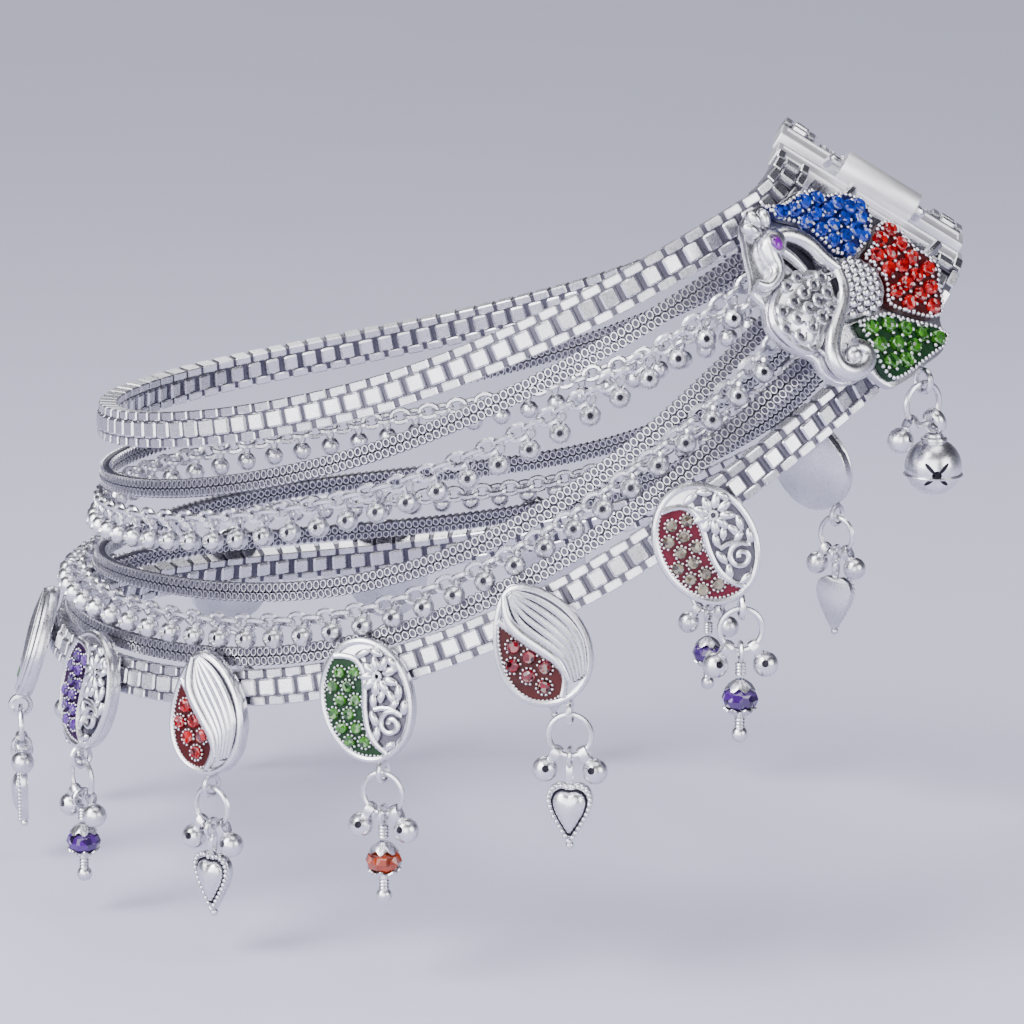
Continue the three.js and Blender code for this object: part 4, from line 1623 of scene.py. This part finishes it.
    def build(self) -> None:
        """Builds the plaque, its eye and its three fields."""
        place = self.place()
        fields = (
            (Hue.BLUE, BLUE_FIELD, BLUE_STONES, "feather_field_blue"),
            (Hue.RED, RED_FIELD, RED_STONES, "feather_field_red"),
            (Hue.GREEN, GREEN_FIELD, GREEN_STONES, "feather_field_green"),
        )
        silver_parts = [self.base(), self.bird()]
        for hue, outline, stones, node in fields:
            pave = Pave(
                outline, stones, self.floor, self.stone, self.grain, edge_pitch=0.66, spacing=1.2
            )
            silver_parts.append(pave.grains(self.finishes.silver))
            bed = pave.bed(0.15, self.finishes.enamels[hue])
            gems = joined("field", [bed, pave.gems(self.finishes.stones[hue])])
            finished(settled(gems, place), f"{node}_stones", [node], 20)
        plaque = settled(joined("plaque", silver_parts), place)
        finished(plaque, "peacock_relief", ["peacock_plaque"])
        finished(settled(self.eye(), place), "peacock_eye_stone", ["peacock_eye"])


# Rings, bells and charms


RING_RADIUS = 2.45
RING_WIRE = 0.35
EYELET_RADIUS = 1.25
EYELET_WIRE = 0.35
BAIL_RADIUS = 1.1
LARGE_BAIL_RADIUS = 1.4
BAIL_WIRE = 0.32
EYELET_PLAY = EYELET_RADIUS - EYELET_WIRE - RING_WIRE - CLEARANCE
BAIL_PLAY = BAIL_RADIUS - BAIL_WIRE - RING_WIRE - CLEARANCE


def hanging_place(eyelet: np.ndarray, out: np.ndarray) -> np.ndarray:
    """Frame at the centre of a ring in an eyelet: x to the viewer's left, y out and z up.

    Args:
        eyelet: the eyelet's centre.
        out: direction away from the ankle.

    Returns:
        A 4 by 4 matrix.
    """
    level = unit(np.array([out[0], out[1], 0.0]))
    centre = eyelet - UP * (RING_RADIUS + EYELET_PLAY)
    return place_at(centre, np.cross(level, UP), level, UP)


@dataclass
class BellRing:
    """A ring with small rattle bells on straps."""

    finishes: Finishes
    radius: float = 1.5
    hole: float = 0.34
    strap: float = 1.1

    def bell(self) -> bpy.types.Object:
        """One bell under its strap, whose top is at the origin.

        Returns:
            The object.
        """
        # The dark finish is painted shade in each bell's hole
        metals = (self.finishes.silver, self.finishes.dark)
        shell = holed_ball(self.radius, self.hole, 16, 11, metals)
        settled(shell, local(z=-self.strap - self.radius, turn=(-70, 0, 0)))
        collar = ring(0.5, 0.2, 12, 6, local(z=-self.strap - 0.1))
        band = ring(0.84, 0.15, 16, 6, scaled(1.15, 0.9, 3.8))
        strap = settled(band, local(z=-0.36, turn=(0, 90, 0)))
        bright = [painted(part, self.finishes.silver) for part in (collar, strap)]
        return joined("bell", [shell, *bright])

    def bare(self) -> bpy.types.Object:
        """The ring itself, upright in its hanging frame."""
        hoop = ring(RING_RADIUS, RING_WIRE, 32, 8, local(turn=(90, 0, 0)))
        return painted(hoop, self.finishes.silver)

    def with_bells(self, spots: Sequence[tuple[float, float]]) -> bpy.types.Object:
        """The ring with bells.

        Args:
            spots: for each bell, its turn from the ring's lowest point and its tilt, in degrees.

        Returns:
            The object.
        """
        parts = [self.bare()]
        for turn, tilt in spots:
            angle = math.radians(turn - 90)
            x, z = RING_RADIUS * math.cos(angle), RING_RADIUS * math.sin(angle)
            parts.append(settled(self.bell(), local(x, 0, z, turn=(0, -tilt, 0))))
        return joined("bell_ring", parts)


@dataclass
class LargeBell:
    """The large rattle bell of the plaque, with a collar, a strap and a slit across its base."""

    finishes: Finishes
    radius: float = 3.3
    turn: float = 40.0
    facing: Point3 = (-98, 0, -34)

    def build(self, place: np.ndarray) -> None:
        """Builds the bell.

        Args:
            place: frame of the ring that it hangs in.
        """
        # The dark finish is painted shade in the bell's hole
        metals = (self.finishes.silver, self.finishes.dark)
        shell = holed_ball(self.radius, 0.55, 28, 18, metals)
        # Painted shade: four dark flattened balls stand in for the slits, dark with the shade inside
        # the bell
        slots = []
        for step in range(4):
            tilt = local(turn=(0, 0, 90 * step + 45)) @ local(turn=(20, 0, 0))
            slot_at = tilt @ local(z=0.975 * self.radius) @ scaled(0.26, 0.85, 0.14)
            slots.append(painted(ball(1, 12, 8, slot_at), self.finishes.dark))
        shell = settled(joined("shell", [shell, *slots]), local(z=-self.radius - 2.0, turn=self.facing))
        seam = ring(self.radius + 0.02, 0.13, 36, 6, local(z=-self.radius - 2.9))
        collar = ring(1.25, 0.32, 20, 8, local(z=-2.15))
        neck = ring(0.75, 0.35, 16, 8, local(z=-1.75))
        band = ring(LARGE_BAIL_RADIUS - 0.1, 0.26, 20, 8, scaled(1, 1, 2.6))
        strap = settled(band, local(turn=(0, 90 + self.turn / 2, 0)))
        parts = [painted(part, self.finishes.silver) for part in (seam, collar, neck, strap)]
        bell = joined("large_bell", [shell, *parts])
        angle = math.radians(-90 - self.turn)
        reach = RING_RADIUS + BAIL_PLAY + LARGE_BAIL_RADIUS - BAIL_RADIUS
        at = local(reach * math.cos(angle), 0, reach * math.sin(angle))
        finished(settled(bell, place @ at), "large_bell", ["plaque_large_bell"])


@dataclass
class BeadCharm:
    """A faceted glass bead between two scalloped silver caps, with a ball under it."""

    finishes: Finishes
    glass: bpy.types.Material
    bead_at: float = -5.5
    bead: Point3 = (2.15, 2.15, 1.5)

    def cap(self, width: float, height: float, at: float, turn: float) -> bpy.types.Object:
        """A flared cap with eight lobes.

        Args:
            width: radius of its mouth.
            height: its height.
            at: z of its mouth.
            turn: 1 for a mouth that looks down, -1 for one that looks up.

        Returns:
            The object.
        """
        clear_selection()
        bpy.ops.mesh.primitive_cone_add(
            vertices=32, radius1=width, radius2=0.45, depth=height, end_fill_type="NOTHING"
        )
        cap = settled(bpy.context.object, local(z=height / 2))
        bpy.ops.object.mode_set(mode="EDIT")
        bpy.ops.mesh.select_all(action="SELECT")
        bpy.ops.mesh.subdivide(number_cuts=2)
        clear_selection()
        for vertex in cap.data.vertices:
            level = vertex.co.z / height
            angle = math.atan2(vertex.co.y, vertex.co.x)
            lobe = 1 + 0.1 * (1 - level) * math.cos(7 * angle)
            belly = 1 + 0.12 * math.sin(math.pi * level)
            vertex.co.x *= lobe * belly
            vertex.co.y *= lobe * belly
            vertex.co.z -= 0.2 * (1 - level) * math.cos(7 * angle)
        with_modifier(cap, "SOLIDIFY", thickness=0.2, offset=0)
        return settled(cap, local(z=at) @ scaled(1, 1, turn))

    def silver(self) -> bpy.types.Object:
        """The bail, wraps, caps, post and end ball.

        Returns:
            The object.
        """
        bail = ring(BAIL_RADIUS, BAIL_WIRE * 0.8, 20, 6, local(turn=(0, 90, 0)))
        wraps = [ring(0.45, 0.2, 14, 6, local(z=-1.45 - 0.38 * i)) for i in range(4)]
        caps = [self.cap(1.6, 1.0, -4.3, 1), self.cap(1.8, 1.0, -6.6, -1)]
        post = [ring(0.4, 0.22, 12, 6, local(z=z)) for z in (-7.6, -8.0, -8.4, -8.8)]
        end = ball(0.95, 16, 10, local(z=-9.75))
        parts = [bail, *wraps, *caps, *post, end]
        charm = painted(joined("charm", parts), self.finishes.silver)
        return with_normals_out(charm)

    def glass_bead(self) -> bpy.types.Object:
        """The faceted bead.

        Returns:
            The object.
        """
        clear_selection()
        bpy.ops.mesh.primitive_uv_sphere_add(segments=10, ring_count=6, radius=1)
        bead = settled(bpy.context.object, local(z=self.bead_at) @ scaled(*self.bead))
        return painted(bead, self.glass)


def with_normals_out(piece: bpy.types.Object) -> bpy.types.Object:
    """Turns all faces of a piece outwards after a mirrored part has been joined.

    Args:
        piece: the object.

    Returns:
        The same object.
    """
    clear_selection()
    piece.select_set(True)
    bpy.context.view_layer.objects.active = piece
    bpy.ops.object.mode_set(mode="EDIT")
    bpy.ops.mesh.select_all(action="SELECT")
    bpy.ops.mesh.normals_make_consistent(inside=False)
    clear_selection()
    return piece


@dataclass
class LeafCharm:
    """A heart shaped leaf with a beaded rim under a tall strap."""

    finishes: Finishes
    outline: Sequence[Point2] = (
        (0.0, -3.3), (-1.2, -3.0), (-2.3, -3.6), (-2.75, -4.9), (-2.3, -6.6), (-1.2, -8.6),
        (0.0, -10.5), (1.2, -8.6), (2.3, -6.6), (2.75, -4.9), (2.3, -3.6), (1.2, -3.0),
    )

    def pattern(self) -> bpy.types.Object:
        """The whole charm, in its hanging frame.

        Returns:
            The object.
        """
        blade = painted(plate(smoothed(self.outline), -0.6, 0.35, 0.12), self.finishes.cast)
        wide, narrow = (
            smoothed([(share * x, share * (y + 6.0) - 6.0) for x, y in self.outline])
            for share in (0.8, 0.72)
        )
        # Painted shade: a near black ground round the crown stands in for the shade in the groove
        ground = painted(plate(wide, 0.2, 0.42), self.finishes.dark)
        crown = painted(dome(narrow, 0.2, 0.45, 1.1, 5), self.finishes.silver)
        clear_selection()
        bpy.ops.mesh.primitive_ico_sphere_add(subdivisions=2, radius=0.3)
        grain = painted(bpy.context.object, self.finishes.silver)
        edge = along_outline(smoothed(self.outline), 0.66, 0.25)
        beads = repeated(grain, [local(x, y, 0.5) for x, y in edge], "beads")
        tip = painted(ball(0.5, 12, 8, local(0, -10.5, 0)), self.finishes.silver)
        flat = settled(joined("leaf", [blade, ground, crown, beads, tip]), STAND_UP)
        bail = ring(BAIL_RADIUS, BAIL_WIRE * 0.8, 20, 6, local(turn=(0, 90, 0)))
        strap = settled(ring(0.9, 0.18, 20, 6, scaled(1.25, 0.55, 2.2)), local(z=-2.0, turn=(0, 90, 0)))
        silver = [painted(part, self.finishes.silver) for part in (bail, strap)]
        return joined("leaf_charm", [flat, *silver])


# The drops along the lowest strand


class DropForm(Enum):
    """The two outlines of the drops."""

    OVAL = "oval"
    LEAF = "leaf"


@dataclass(frozen=True)
class StoneRows:
    """Slanting rows of stones, half a pitch apart.

    Attributes:
        radius: a stone's radius.
        pitch: distance between stones.
        x: place of one stone.
        y: the same.
        turn: the rows' slant in degrees.
    """

    radius: float
    pitch: float
    x: float
    y: float
    turn: float


@dataclass
class DropFace:
    """Face of one drop: a rimmed plaque, enamel and stones to the left, worked silver to the right."""

    form: DropForm
    finishes: Finishes
    thickness: float = 1.4
    oval_stones: StoneRows = StoneRows(0.72, 1.85, -1.2, 0.24, 50.0)
    leaf_stones: StoneRows = StoneRows(0.85, 2.15, -1.77, -0.67, 5.0)
    grain: float = 0.17
    flower_at: Point2 = (2.2, 2.5)
    curl_at: Point2 = (2.7, -3.2)
    curl_reach: float = 1.75
    # Small leaves round the flower and the curl: x, y, turn in degrees and half length
    lobes: Sequence[tuple[float, float, float, float]] = (
        (1.1, -0.2, 80, 0.9), (2.2, 0.1, 60, 0.8), (3.4, -0.1, 110, 0.9), (4.4, 0.2, 80, 1.0),
        (4.7, -1.6, 75, 0.9), (0.7, -2.2, 100, 1.0), (0.7, -4.0, 75, 0.9), (0.9, 5.4, 10, 1.1),
        (2.6, 5.2, -35, 0.9), (4.3, 3.8, -60, 0.8), (1.9, -5.6, 20, 0.9), (3.6, -1.0, 20, 0.7),
    )
    # Sunk ground under the worked silver, on ovals and on leaves, painted grey as shade
    oval_ground: Sequence[Point2] = (
        (1.0, 5.6), (0.9, 3.6), (0.6, 1.2), (0.0, -1.0), (0.0, -3.6), (0.7, -5.4), (1.8, -6.0),
        (3.9, -4.4), (5.0, -1.6), (5.0, 1.6), (4.0, 4.3), (2.4, 5.9),
    )
    leaf_ground: Sequence[Point2] = (
        (-1.0, 6.9), (-1.9, 4.6), (-1.1, 2.0), (0.6, -0.6), (1.8, -2.8), (1.6, -5.2), (2.9, -5.2),
        (4.4, -3.4), (4.9, -1.0), (4.5, 1.6), (3.2, 4.2), (1.0, 6.5),
    )
    oval_outline: Sequence[Point2] = field(default_factory=lambda: ellipse(5.75, 7.25, 36))
    oval_enamel: Sequence[Point2] = (
        (-2.9, 5.7), (-4.2, 4.1), (-5.0, 2.0), (-5.2, -0.4), (-4.8, -2.8), (-3.7, -4.9),
        (-1.8, -6.2), (0.6, -6.7), (1.4, -6.5), (0.2, -5.5), (-0.6, -3.6), (-0.5, -1.0),
        (0.1, 1.3), (0.4, 3.7), (-0.8, 5.5),
    )
    leaf_outline: Sequence[Point2] = (
        (-0.8, 8.0), (-2.6, 6.6), (-4.4, 3.8), (-5.5, 0.6), (-5.7, -2.2), (-4.7, -5.0),
        (-2.5, -6.6), (0.2, -7.1), (2.8, -6.3), (4.7, -4.2), (5.5, -1.2), (5.1, 1.8), (3.7, 4.6),
        (1.6, 6.8),
    )
    leaf_enamel: Sequence[Point2] = (
        (-3.7, 4.3), (-4.7, 1.6), (-5.1, -1.2), (-4.7, -3.6), (-3.4, -5.4), (-1.6, -6.2),
        (-0.2, -6.2), (1.0, -4.7), (1.0, -2.8), (0.0, -1.2), (-1.7, 0.9), (-2.9, 3.0),
    )

    @property
    def outline(self) -> Sequence[Point2]:
        """The plaque's outline."""
        return self.oval_outline if self.form is DropForm.OVAL else smoothed(self.leaf_outline)

    def stone_spots(self, enamel: Sequence[Point2], rows: StoneRows) -> list[Point2]:
        """Places of the stones that keep off the enamel's edge.

        Args:
            enamel: outline of the enamel field.
            rows: how the stones are laid.

        Returns:
            The stones' centres.
        """
        spots = []
        slant, reach = math.radians(rows.turn), rows.radius + self.grain
        for row in range(-6, 7):
            for column in range(-6, 7):
                along, across = (column + 0.5 * (row % 2)) * rows.pitch, 0.87 * row * rows.pitch
                x = rows.x + along * math.cos(slant) - across * math.sin(slant)
                y = rows.y + along * math.sin(slant) + across * math.cos(slant)
                girdle = [(x + a, y + b) for a, b in ellipse(reach, reach, 12)]
                if all(is_inside(*point, enamel) for point in girdle):
                    spots.append((x, y))
        return spots

    def pave(self) -> Pave:
        """The field of stones.

        Returns:
            The field with its stones.
        """
        is_oval = self.form is DropForm.OVAL
        enamel = self.oval_enamel if is_oval else self.leaf_enamel
        rows = self.oval_stones if is_oval else self.leaf_stones
        level = self.thickness + 0.15
        spots = self.stone_spots(enamel, rows)
        return Pave(
            enamel, spots, level, rows.radius, self.grain, edge_pitch=0.5, spacing=0.5, crown=0.45
        )

    def rim(self) -> list[bpy.types.Object]:
        """The border wire and the wire between enamel and silver.

        Returns:
            The two wires.
        """
        edge = [(0.965 * x, 0.965 * y, self.thickness) for x, y in self.outline[::2]]
        enamel = self.oval_enamel if self.form is DropForm.OVAL else self.leaf_enamel
        first = 7 if self.form is DropForm.OVAL else 6
        divide = [(x + 0.25, y, self.thickness + 0.35) for x, y in [*enamel[first:], enamel[0]]]
        return [wire(edge, 0.42, closed=True, sides=2), wire(divide, 0.38, sides=2)]

    def flower(self) -> list[bpy.types.Object]:
        """Petals round an eye and a curl below, on the oval's right half.

        Returns:
            The petals, curl and lobes.
        """
        level = self.thickness + 0.4
        (flower_x, flower_y), (curl_x, curl_y) = self.flower_at, self.curl_at
        parts = []
        for step in range(9):
            turn = 40 * step + 10
            angle = math.radians(turn)
            reach = 1.4 if 60 < turn < 300 else 1.65
            x, y = flower_x + reach * math.cos(angle), flower_y + reach * math.sin(angle)
            petal_at = local(x, y, level, turn=(0, 0, turn)) @ scaled(1.0, 0.56, 0.5)
            parts.append(ball(1, 12, 7, petal_at))
        parts.append(ring(0.42, 0.2, 14, 6, local(flower_x, flower_y, level + 0.25)))
        turns = np.linspace(0.3, 2.9 * math.pi, 18)
        curl = [(1.0, -1.2, level), (2.7, -1.0, level)]
        for turn in turns:
            reach = self.curl_reach * (1 - 0.09 * turn)
            curl.append((curl_x + reach * math.cos(turn), curl_y + reach * math.sin(turn), level))
        parts.append(wire(curl, 0.36, sides=2))
        for x, y, turn, long in self.lobes:
            lobe_at = local(x, y, level, turn=(0, 0, turn)) @ scaled(long, 0.48, 0.45)
            parts.append(ball(1, 12, 7, lobe_at))
        return parts

    def flutes(self) -> list[bpy.types.Object]:
        """Long flutes that follow the leaf's right edge.

        Returns:
            The flutes.
        """
        level = self.thickness + 0.4
        inner = [(-1.3, 6.2), (-1.9, 4.0), (-0.9, 1.6), (0.9, -0.9), (2.0, -3.0), (1.6, -5.2)]
        outer = [(-0.6, 7.0), (1.3, 5.9), (3.2, 3.7), (4.5, 1.0), (4.8, -1.8), (3.6, -4.7)]
        parts = []
        for share in (0.12, 0.32, 0.52, 0.72, 0.92):
            points = [
                (a + (c - a) * share, b + (d - b) * share, level + 0.25 * math.sin(math.pi * share))
                for (a, b), (c, d) in zip(inner, outer, strict=True)
            ]
            parts.append(
                wire(points, 0.42, lambda s: 0.45 + 0.6 * math.sin(math.pi * s), sides=2, detail=4)
            )
        margin = [(-1.8, 6.9), (-2.6, 4.6), (-2.0, 2.4), (-0.2, -0.2), (1.4, -2.6), (1.4, -4.8)]
        points = [(x, y, level - 0.1) for x, y in margin]
        parts.append(wire(points, 0.85, lambda s: 0.4 + 0.6 * math.sin(math.pi * s), sides=3, detail=4))
        return parts

    def silver(self) -> bpy.types.Object:
        """The plaque with its rim, worked silver and grains.

        Returns:
            The object.
        """
        back = painted(plate(self.outline, 0, self.thickness, 0.2), self.finishes.cast)
        worked = self.flower() if self.form is DropForm.OVAL else self.flutes()
        bright = [painted(part, self.finishes.silver) for part in (*self.rim(), *worked)]
        ground = self.oval_ground if self.form is DropForm.OVAL else self.leaf_ground
        # Painted shade: the ground is painted grey, as the shade between the petals and flutes
        floor = plate(smoothed(ground), self.thickness - 0.1, self.thickness + 0.12)
        floor = painted(floor, self.finishes.shade)
        return joined("face", [back, floor, *bright, self.pave().grains(self.finishes.silver)])


class Cut(Enum):
    """Kinds of stone in a drop: bright ones in the enamel's hue, clear smoky ones or garnets."""

    BRIGHT = "bright"
    SMOKY = "smoky"
    GARNET = "garnet"


@dataclass(frozen=True)
class DropPlan:
    """What makes one drop differ from the next.

    Attributes:
        below: how far its centre lies below the lowest strand.
        hue: the hue of its enamel.
        cut: its kind of stone.
        amber: whether its bead is amber.
    """

    below: float
    hue: Hue
    cut: Cut = Cut.BRIGHT
    amber: bool = False


DROPS = (
    DropPlan(3.0, Hue.RED, Cut.SMOKY),
    DropPlan(3.8, Hue.RED, Cut.GARNET),
    DropPlan(3.1, Hue.GREEN, amber=True),
    DropPlan(3.1, Hue.RED),
    DropPlan(2.6, Hue.PURPLE),
    DropPlan(2.6, Hue.GREEN),
    DropPlan(2.6, Hue.RED, Cut.SMOKY),
    DropPlan(2.6, Hue.RED, Cut.GARNET),
    DropPlan(3.1, Hue.GREEN, amber=True),
    DropPlan(3.1, Hue.RED),
    DropPlan(3.8, Hue.PURPLE),
    DropPlan(3.0, Hue.RED, Cut.GARNET),
)


@dataclass
class Drops:
    """All drops: each a plaque on the lowest strand, a ring with bells and a charm."""

    finishes: Finishes
    first: float = 45.0
    pitch: float = 20.8
    lean: float = 0.15
    chain_face: float = 1.4
    thickness: float = 1.4
    oval_eyelet: float = -8.35
    leaf_eyelet: float = -8.25

    def plaque_place(self, number: int, run: StrandRun) -> np.ndarray:
        """Frame of a drop's plaque: x right, y up and z out.

        Args:
            number: the drop's number from 1.
            run: the lowest strand.

        Returns:
            A 4 by 4 matrix.
        """
        distance = self.first + (number - 1) * self.pitch
        out, up = run.axes_at(distance)
        upright = unit(UP - out * out[2])
        rise = unit(up + (upright - up) * self.lean)
        right = unit(np.cross(rise, out))
        below = rise * DROPS[number - 1].below
        centre = run.point_at(distance) + out * (self.chain_face + CLEARANCE) - below
        return place_at(centre, right, rise, out)

    def eyelet(self, place: np.ndarray, at: float) -> bpy.types.Object:
        """The eyelet under a plaque, in the plaque's frame.

        Args:
            place: the plaque's frame.
            at: the eyelet's y in it.

        Returns:
            The object.
        """
        turn = math.degrees(math.atan2(-place[2, 0], place[2, 1]))
        spot = local(0, at, self.thickness / 2) @ local(turn=(0, 0, turn)) @ local(turn=(0, 90, 0))
        return painted(ring(EYELET_RADIUS, EYELET_WIRE, 18, 7, spot), self.finishes.silver)

    def build(self) -> None:
        """Builds every drop."""
        run = StrandRun(len(STRANDS) - 1)
        faces = {form: DropFace(form, self.finishes) for form in DropForm}
        silver = {form: face.silver() for form, face in faces.items()}
        bells = BellRing(self.finishes).with_bells([(-38, -32), (38, 32)])
        bead_silver = BeadCharm(self.finishes, self.finishes.purple_bead).silver()
        leaf = LeafCharm(self.finishes).pattern()
        for number, plan in enumerate(DROPS, start=1):
            form = DropForm.OVAL if number % 2 else DropForm.LEAF
            label = f"drop_{number:02d}"
            place = self.plaque_place(number, run)
            at = self.oval_eyelet if form is DropForm.OVAL else self.leaf_eyelet
            face = repeated(silver[form], [np.eye(4)], "face", keep=True)
            plaque = settled(joined("plaque", [face, self.eyelet(place, at)]), place)
            finished(plaque, f"{label}_setting", [f"{label}_plaque"])
            pave = faces[form].pave()
            enamel, stone = self.finishes.enamels[plan.hue], self.finishes.stones[plan.hue]
            if plan.cut is Cut.SMOKY:
                enamel, stone = self.finishes.ruby_enamel, self.finishes.smoky
            elif plan.cut is Cut.GARNET:
                stone = self.finishes.garnet
            field_parts = [pave.bed(self.thickness - 0.2, enamel), pave.gems(stone)]
            stones = settled(joined("field", field_parts), place)
            finished(stones, f"{label}_stones", smooth=20)
            eyelet = (place @ np.array([0, at, self.thickness / 2, 1.0]))[:3]
            hanging = hanging_place(eyelet, place[:3, 2])
            bell_ring = repeated(bells, [hanging], "ring", keep=True)
            finished(bell_ring, f"{label}_bells", [f"{label}_bell_ring"])
            charm_at = hanging @ local(z=-RING_RADIUS - BAIL_PLAY)
            if form is DropForm.LEAF:
                charm = repeated(leaf, [charm_at], "charm", keep=True)
                finished(charm, f"{label}_leaf", [f"{label}_leaf_charm"])
                continue
            charm = repeated(bead_silver, [charm_at], "charm", keep=True)
            finished(charm, f"{label}_caps", [f"{label}_bead_charm"])
            glass = self.finishes.orange_bead if plan.amber else self.finishes.purple_bead
            bead = settled(BeadCharm(self.finishes, glass).glass_bead(), charm_at)
            finished(bead, f"{label}_bead", smooth=5)
        for pattern in (*silver.values(), bells, bead_silver, leaf):
            bpy.data.objects.remove(pattern)


# The studio


@dataclass
class Studio:
    """Pale floor, soft lights and the camera at the photograph's angle."""

    azimuth: float = 20.0
    elevation: float = 13.0
    distance: float = 450.0
    target: Point3 = (3.0, 0.0, 0.0)
    lens: float = 126.6
    sensor: float = 36.0
    floor_z: float = -47.0
    floor_size: float = 90.0
    spread: float = 150.0
    # Suns: name, direction to it, strength and width in degrees
    suns: Sequence[tuple[str, Point3, float, float]] = (
        ("sky", (-0.5, -0.6, 1.0), 2.9, 30.0),
        ("rim", (-0.5, 0.9, 0.7), 0.5, 20.0),
    )
    # Square lights: name, place and side in millimetres, power in watts
    lights: Sequence[tuple[str, Point3, float, float]] = (
        ("top", (80, 0, 520), 320, 0.95),
        ("key", (-260, -480, 200), 400, 2.5),
        ("front", (150, -580, 190), 460, 2.2),
        ("fill", (560, -180, 190), 340, 1.5),
    )

    def camera(self) -> None:
        """Adds the camera."""
        azimuth, elevation = math.radians(self.azimuth), math.radians(self.elevation)
        back = np.array(
            [
                math.sin(azimuth) * math.cos(elevation),
                -math.cos(azimuth) * math.cos(elevation),
                math.sin(elevation),
            ]
        )
        right = np.array([math.cos(azimuth), math.sin(azimuth), 0.0])
        data = bpy.data.cameras.new("camera")
        data.lens = self.lens
        data.sensor_width = self.sensor
        data.clip_start, data.clip_end = 0.01, 50.0
        camera = bpy.data.objects.new("camera", data)
        bpy.context.collection.objects.link(camera)
        at = (np.array(self.target) + back * self.distance) * MM
        camera.matrix_world = Matrix(place_at(at, right, np.cross(back, right), back).tolist())
        bpy.context.scene.camera = camera

    def light(self, name: str, at: Point3, size: float, power: float) -> None:
        """Adds a soft square light that looks at the anklet.

        Args:
            name: its name.
            at: its place in millimetres.
            size: its side in millimetres.
            power: its power in watts.
        """
        data = bpy.data.lights.new(name, "AREA")
        data.shape = "SQUARE"
        data.size = size * MM
        data.energy = power
        data.spread = math.radians(self.spread)
        lamp = bpy.data.objects.new(name, data)
        bpy.context.collection.objects.link(lamp)
        lamp.location = Vector(at) * MM
        lamp.rotation_euler = (-lamp.location).to_track_quat("-Z", "Y").to_euler()

    def sun(self, name: str, direction: Point3, strength: float, spread: float) -> None:
        """Adds a soft far light that lights the floor evenly.

        Args:
            name: its name.
            direction: where it stands.
            strength: its irradiance.
            spread: its width in degrees.
        """
        data = bpy.data.lights.new(name, "SUN")
        data.energy = strength
        data.angle = math.radians(spread)
        lamp = bpy.data.objects.new(name, data)
        bpy.context.collection.objects.link(lamp)
        lamp.rotation_euler = (-Vector(direction)).to_track_quat("-Z", "Y").to_euler()

    def floor(self) -> None:
        """Adds the pale floor."""
        clear_selection()
        bpy.ops.mesh.primitive_plane_add(size=self.floor_size, location=(0, 0, self.floor_z * MM))
        floor = bpy.context.object
        floor.name = "floor"
        material, tree, shader = blank_material("pale_card")
        place = add_node(tree, "ShaderNodeTexCoord", {}, {}).outputs["Object"]
        # Matt lavender card, a little cloudy, with a paper tooth
        fine = {"Vector": place, "Scale": 1 / (3 * MM)}
        tooth = add_node(tree, "ShaderNodeTexNoise", {}, fine).outputs["Fac"]
        relief = {"Height": tooth, "Strength": 0.05, "Distance": MM}
        bump = add_node(tree, "ShaderNodeBump", {}, relief)
        wide = {"Vector": place, "Scale": 1 / (60 * MM)}
        cloud = add_node(tree, "ShaderNodeTexNoise", {}, wide).outputs["Fac"]
        colours = {0: cloud, 6: linear("CACAE4"), 7: linear("C6C6E0")}
        tint = add_node(tree, "ShaderNodeMix", {"data_type": "RGBA"}, colours)
        tree.links.new(tint.outputs[2], shader.inputs["Base Color"])
        tree.links.new(bump.outputs[0], shader.inputs["Normal"])
        shader.inputs["Roughness"].default_value = 0.7
        painted(floor, material)
        floor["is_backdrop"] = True

    def room(self) -> None:
        """Sets the soft light of the room: pale above and darker below and behind."""
        world = bpy.data.worlds.new("room")
        world.use_nodes = True
        tree = world.node_tree
        place = add_node(tree, "ShaderNodeTexCoord", {}, {}).outputs["Generated"]
        height = add_node(tree, "ShaderNodeSeparateXYZ", {}, {"Vector": place}).outputs["Z"]
        rise = {"Value": height, "From Min": 0.05, "From Max": 0.45, "To Min": 0.0, "To Max": 1.0}
        share = add_node(tree, "ShaderNodeMapRange", {}, rise).outputs[0]
        colours = {0: share, 6: linear("B9BACB"), 7: linear("50505C")}
        tint = add_node(tree, "ShaderNodeMix", {"data_type": "RGBA"}, colours)
        background = tree.nodes["Background"]
        tree.links.new(tint.outputs[2], background.inputs["Color"])
        background.inputs["Strength"].default_value = 0.6
        bpy.context.scene.world = world

    def build(self) -> None:
        """Builds the studio."""
        self.floor()
        self.room()
        for name, direction, strength, width in self.suns:
            self.sun(name, direction, strength, width)
        for name, at, size, power in self.lights:
            self.light(name, at, size, power)
        self.camera()


def corners(box: tuple[Vector, Vector]) -> list[list[float]]:
    """Turns a box's corners into plain lists."""
    return [list(corner) for corner in box]


def main() -> None:
    """Builds and dresses the anklet, piece by piece."""
    logging.basicConfig(level=logging.INFO, format="%(name)s: %(message)s")
    cad_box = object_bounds()
    finishes = Finishes()
    Studio().build()
    for index in (0, 6):
        BoxChain(index, finishes).build()
    for index in (1, 3, 5):
        MeshChain(index, finishes).build()
    BellChain(2, finishes, bell_at=(-0.3, -2.7, 0.8)).build()
    BellChain(4, finishes, bell_at=(-0.2, -1.6, 1.9)).build()
    Clasp(finishes).build()
    peacock = Peacock(finishes)
    peacock.build()
    ring_place = peacock.eyelet_place()
    jump_ring = settled(BellRing(finishes).with_bells([(40, 40)]), ring_place)
    finished(jump_ring, "plaque_ring", ["plaque_bell_ring"])
    LargeBell(finishes).build(ring_place)
    Drops(finishes).build()
    {"cad": corners(cad_box), "visual": corners(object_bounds())}


if __name__ == "__main__":
    main()
